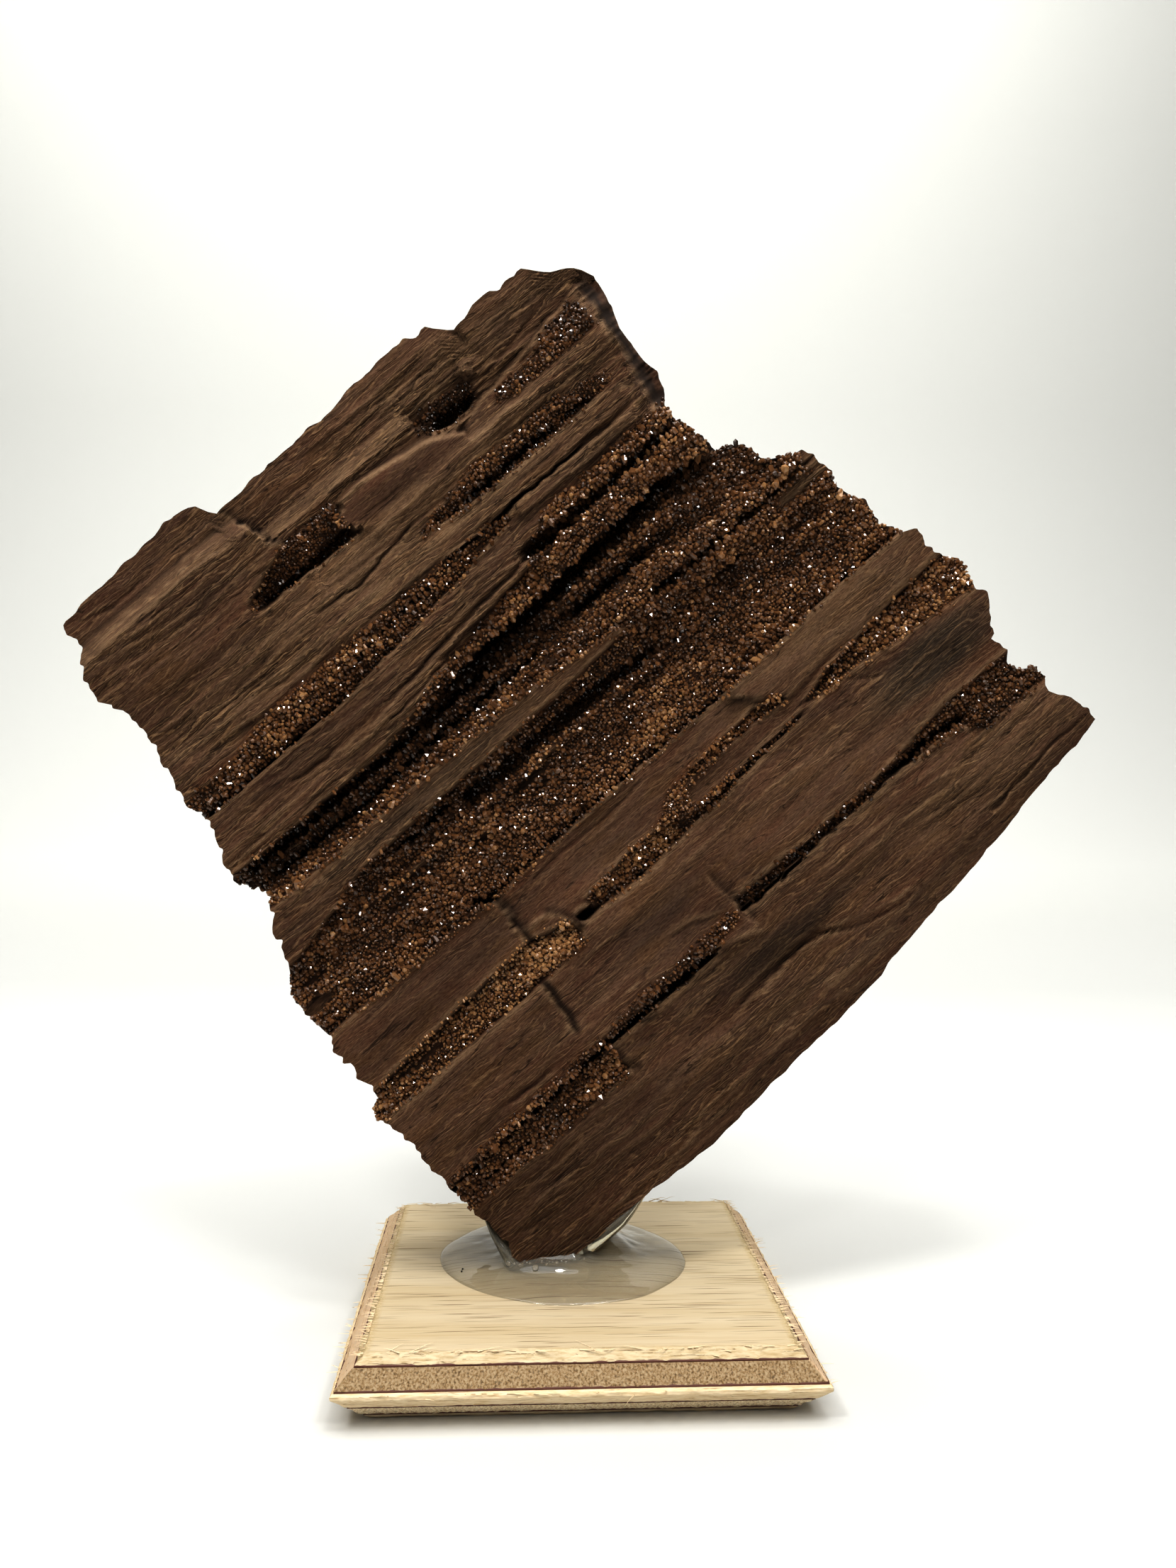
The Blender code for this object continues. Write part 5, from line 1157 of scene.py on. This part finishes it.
# Each veneer's colours: pale and dark wood, pores, sawn ends and fluff; then how dark the grains of its sawn
# ends are, and the turn of its fibres.
VENEERS = {
    "birch_face_veneer": ("#d3c5aa", "#ccbc9d", "#816749", "#cbba97", "#dfd1b3", 0.3, 0.0),
    "brown_cross_veneer": ("#dcc5ab", "#d1b899", "#a58c6e", "#ac9a7e", "#bba88a", 0.85, math.pi / 2),
    "birch_core_veneer": ("#e9d8bc", "#e2cfae", "#a48c68", "#e3d1b0", "#eee1c5", 0.3, 0.0),
    # A copy of the cross veneer painted paler for the lower ply, whose bevel faces down: painted light
    # standing in for what the floor bounces up onto it.
    "pale_cross_veneer": ("#e9d8bf", "#e0ccae", "#a58c6e", "#f0e4cb", "#f0e4cb", 0.6, math.pi / 2),
}
# Half width of the square at each height: bevelled above and below a blunt middle.
BASE_SECTION = [(0, 32.7), (5.2, 38.1), (5.7, 38.1), (10.2, 33.55)]
# Each layer's veneer and heights, how deep its edge is torn, and the size of the tears along the edge.
LAYERS = {
    "base_bottom_ply": ("birch_core_veneer", [0, 0.4, 0.85], 0.3, 2.5),
    "base_lower_cross_ply": ("pale_cross_veneer", [1.15, 1.7, 2.3, 2.95], 0.35, 0.5),
    "base_middle_ply": ("birch_core_veneer", [3.25, 4.2, 5.2, 5.45, 5.7, 6.0], 0.3, 1.8),
    "base_upper_cross_ply": ("brown_cross_veneer", [6.3, 6.8, 7.4, 8.0, 8.55], 0.4, 0.5),
    "base_top_ply": ("birch_face_veneer", [8.85, 9.2, 9.6, 10.0, BASE_TOP_Z], 0.45, 1.4),
}
EDGE_POINTS = 600  # round the square
# Heights on the board's edge at which fibres are torn up, and the share of them at each.
TORN_HEIGHTS = {10.15: 0.66, 9.7: 0.06, 9.2: 0.04, 5.8: 0.1, 5.3: 0.05, 3.4: 0.05, 1.0: 0.04}
CAP_INSET = 1.3  # how far inside the edge the flat caps of a layer end
GLUE_LINE_OVERLAP, GLUE_LINE_INSET = 0.02, 0.35  # into the veneers above and below, and in from their edge


def square_ring(place, half, z):
    """Points of the turned square at a height; place goes from 0 to 4 round its sides."""
    corner = np.array([(-1, -1), (1, -1), (1, 1), (-1, 1), (-1, -1)], float)
    x, y = (np.interp(place, range(5), corner[:, k]) * half for k in range(2))
    cos, sin = math.cos(BASE_TURN), math.sin(BASE_TURN)
    return np.stack([x * cos - y * sin, x * sin + y * cos, z + 0 * x], -1)


def layer(name, finish, heights, tear, size, ends_in_front, seed):
    """One veneer of the board: square rings at its heights, torn inwards along the edge, and two caps.

    ends_in_front says that the ends of its fibres show at the front and back, and not at the sides.
    """
    heights = [heights[0], *heights, heights[-1]]
    place = np.tile(np.arange(EDGE_POINTS) * 4 / EDGE_POINTS, (len(heights), 1))
    z = np.array(heights, float)[:, None] + 0 * place
    edge = 1 + 0 * place
    edge[[0, -1]] = 0  # the first and last ring lie on the caps, a little inside the edge
    run = place * 70  # millimetres round the square
    torn = 0.5 + 0.5 * lattice(run / size, z / 0.6, seed)
    torn = torn + 0.5 * np.abs(lattice(run / 0.4, z / 0.3, seed + 1))
    half = line(BASE_SECTION, z) - tear * torn * edge - CAP_INSET * (1 - edge)
    points = square_ring(place, half, z).reshape(-1, 3)
    k = np.arange(EDGE_POINTS)
    faces = [grid_faces(len(heights), EDGE_POINTS, closed=True)[:, ::-1], k[None, ::-1],
             (len(points) - EDGE_POINTS + k)[None]]
    cut = edge * ((place % 2 < 1) == ends_in_front)
    marks = {"cut": cut.ravel(), "torn": edge.ravel()}
    piece = make_piece(name + "_veneer", points, faces, finish, marks=marks)
    piece.data.set_sharp_from_angle(angle=math.radians(35))
    on_root(piece, "cross_veneer" if ends_in_front else "face_veneer", name)


def glue_lines(finish):
    """The dark glue between the veneers: four thin square sheets, a little inside the board's edge."""
    around = 120
    place, k = np.arange(around) * 4 / around, np.arange(around)[None]
    points, faces = [], []
    layers = [heights for _, heights, *_ in LAYERS.values()]
    for number, (below, above) in enumerate(zip(layers, layers[1:])):
        low, high = below[-1] - GLUE_LINE_OVERLAP, above[0] + GLUE_LINE_OVERLAP
        half = line(BASE_SECTION, (low + high) / 2) - GLUE_LINE_INSET
        points += [square_ring(place, half, low), square_ring(place, half, high)]
        start = 2 * around * number
        faces += [grid_faces(2, around, start, closed=True)[:, ::-1], start + k[:, ::-1], start + around + k]
    on_root(make_piece("veneer_glue_lines", np.concatenate(points), faces, finish), "cross_veneer")


def torn_fibres(finish, rng):
    """Wisps of wood torn up along the board's edges: thin three-sided threads on curved paths that taper.

    They follow the grain of the face veneers, left to right, and curl up and outwards.
    """
    count, at_ends, steps = 520, 300, 8
    place = rng.uniform(0, 4, count)
    place[:at_ends] = 1 + rng.integers(0, 2, at_ends) * 2 + rng.uniform(0, 1, at_ends)
    z = rng.choice(list(TORN_HEIGHTS), count, p=list(TORN_HEIGHTS.values()))
    start = square_ring(place, line(BASE_SECTION, z) - 0.1, z)
    out = unit(np.array([[0, -1, 0], [1, 0, 0], [0, 1, 0], [-1, 0, 0]], float))[place.astype(int)]
    grain = np.array([math.cos(BASE_TURN), math.sin(BASE_TURN), 0])
    way = np.where(np.abs(out[:, :1]) > 0.5, np.sign(out[:, :1]), rng.choice([-1.0, 1.0], (count, 1)))
    run = unit(way * grain + rng.normal(0, 0.35, (count, 3)) * (1, 1, 0))
    at_end = np.abs(out[:, 0]) > 0.5
    length = np.where(at_end, rng.uniform(0.4, 1.7, count), rng.uniform(0.8, 4.2, count))[:, None, None]
    u = np.linspace(0, 1, steps)[None, :, None]
    bend = rng.uniform(-0.1, 0.4, (count, 1, 1))
    rise = rng.uniform(-0.05, 0.4, (count, 1, 1))
    path = (start[:, None] + run[:, None] * length * u + out[:, None] * length * bend * u**2
            + np.array([0, 0, 1.0]) * length * rise * u**1.5 * np.cos(1.2 * u))
    width = (rng.uniform(0.05, 0.15, count)[:, None] * (1 - 0.85 * u[..., 0]))[..., None]
    side = unit(np.cross(run, [0, 0, 1.0]))
    corners = np.stack([path + width * side[:, None], path - width * side[:, None],
                        path + width * np.array([0, 0, 1.2])], 2)
    points = corners.reshape(-1, 3)
    number = 3 * steps  # of one thread's points
    ends = np.array([[0, 1, 2], [number - 1, number - 2, number - 3]])
    faces = [repeated(part, count, number) for part in (grid_faces(steps, 3, closed=True), ends)]
    on_root(make_piece("torn_veneer_fibres", points, faces, finish, smooth=False), "face_veneer")


# ---------------- floor, light and camera

FLOOR_HALF, FLOOR_FRONT, SWEEP_START, SWEEP_RADIUS, WALL_HEIGHT = 2200, -2500, 900, 700, 2600
CAMERA_PITCH, CAMERA_ROLL, CAMERA_LENS, CAMERA_SENSOR = 0.016, 0.009, 27.21, 36.0
# Soft boxes: place, the point they are aimed at, width and height, watts and colour.
SOFTBOXES = {
    "overhead_softbox": ((0, -140, 900), (0, -20, 90), (1050, 700), 8.3, (1, 1, 1)),
    "left_sparkle": ((-330, -420, 700), (0, -10, 100), (150, 110), 2.2, (1, 1, 1)),
    "right_sparkle": ((300, -480, 620), (0, -10, 100), (140, 110), 1.7, (1, 1, 1)),
    "front_sparkle": ((-90, -520, 480), (0, -10, 100), (70, 50), 0.5, (1, 1, 1)),
    "top_sparkle": ((120, -260, 760), (0, -10, 100), (90, 90), 1.0, (1, 1, 1)),
    "backdrop_light": ((-160, 700, 1900), (-160, 1600, 300), (1800, 500), 26, (1, 1, 0.97)),
}


def backdrop():
    """White paper: flat under the object, then a quarter circle up into a wall behind it.

    Its near part is painted a little greyer, a painted shade for paper that lies further from the lamps.
    """
    turn = np.linspace(0, math.pi / 2, 24)
    wall = SWEEP_START + SWEEP_RADIUS
    y = np.concatenate([[FLOOR_FRONT, 0], SWEEP_START + SWEEP_RADIUS * np.sin(turn), [wall]])
    z = np.concatenate([[0, 0], SWEEP_RADIUS * (1 - np.cos(turn)), [WALL_HEIGHT]])
    x = np.array([-FLOOR_HALF, FLOOR_HALF], float)
    points = np.stack([np.tile(x, len(y)), np.repeat(y, 2), np.repeat(z, 2)], -1)
    paper, tree, shader = new_finish("white_backdrop_paper", Roughness=0.9)
    back = add(tree, "SeparateXYZ", {0: add(tree, "TexCoord", out="Object")}, out=1)
    far = add(tree, "MapRange", {0: back, 1: 400 * MM, 2: 1100 * MM})
    colour = add(tree, "Mix", {0: far, 6: "#d3d3d0", 7: "#f7f7f4"}, out=2, data_type="RGBA")
    tree.links.new(colour, shader.inputs["Base Color"])
    piece = make_piece("backdrop", points, [grid_faces(len(y), 2)[:, ::-1]], paper)


def stand(name, data, place, right, up, back):
    """Stands a lamp or a camera at a place in millimetres, looking away from back."""
    matrix = np.eye(4)
    matrix[:3] = np.stack([right, up, back, np.array(place) * MM], 1)
    thing = bpy.data.objects.new(name, data)
    thing.matrix_world = Matrix(matrix.tolist())
    bpy.context.scene.collection.objects.link(thing)
    return thing


def soft_light(name, place, aim, size, power, colour):
    """A soft box at a place in millimetres, aimed at another; size as width and height, power in watts."""
    lamp = bpy.data.lights.new(name, "AREA")
    lamp.shape, lamp.size, lamp.size_y = "RECTANGLE", size[0] * MM, size[1] * MM
    lamp.energy, lamp.color = power, colour
    back = unit(np.subtract(place, aim).astype(float))
    right = unit(np.cross([0.0, 1e-3, 1.0], back))  # level, also for a box that looks straight down
    stand(name, lamp, place, right, np.cross(back, right), back)


def camera():
    """The lens looks along +Y, tipped up by the pitch and turned about its own line of sight by the roll."""
    lens = bpy.data.cameras.new("camera")
    lens.lens, lens.sensor_width, lens.sensor_fit = CAMERA_LENS, CAMERA_SENSOR, "AUTO"
    lens.clip_start, lens.clip_end = 0.01, 20
    cos_p, sin_p = math.cos(CAMERA_PITCH), math.sin(CAMERA_PITCH)
    cos_r, sin_r = math.cos(CAMERA_ROLL), math.sin(CAMERA_ROLL)
    forward, up, right = np.array([0, cos_p, sin_p]), np.array([0, -sin_p, cos_p]), np.array([1.0, 0, 0])
    bpy.context.scene.camera = stand("camera", lens, SIGHT_POINT, right * cos_r + up * sin_r,
                                     up * cos_r - right * sin_r, -forward)


# ---------------- the whole object

rng = np.random.default_rng(5)
stone(petrified_wood_finish())
quartz = quartz_finish()
for node, druse in DRUSES.items():
    grow_druse(node, *druse, quartz, rng)
clear_glue = glue_finish()
glue_pool(clear_glue)
for node, path in GLUE_WEBS.items():
    glue_web(node, path, clear_glue)
balls_on_pool("hot_glue_bubbles", GLUE_BUBBLES, bubble_finish())
balls_on_pool("soot_specks", GLUE_SPECKS, new_finish("soot", "#191410", Roughness=0.8)[0])
veneers = {name: veneer_finish(name, *look) for name, look in VENEERS.items()}
for number, (node, (veneer, *sizes)) in enumerate(LAYERS.items()):
    layer(node, veneers[veneer], *sizes, ends_in_front="cross" in veneer, seed=70 + 2 * number)
glue_lines(new_finish("veneer_glue_line", "#6f4a3e", Roughness=0.6)[0])
torn_fibres(veneers["birch_core_veneer"], rng)

backdrop()
for name, settings in SOFTBOXES.items():
    soft_light(name, *settings)
world = bpy.data.worlds.new("white_room")
world.use_nodes = True
world.node_tree.nodes["Background"].inputs["Color"].default_value = (1, 1, 1, 1)
world.node_tree.nodes["Background"].inputs["Strength"].default_value = 0.14
bpy.context.scene.world = world
bpy.context.scene.view_settings.view_transform = "Standard"
bpy.context.scene.view_settings.gamma = 0.7  # a camera's contrast
camera()
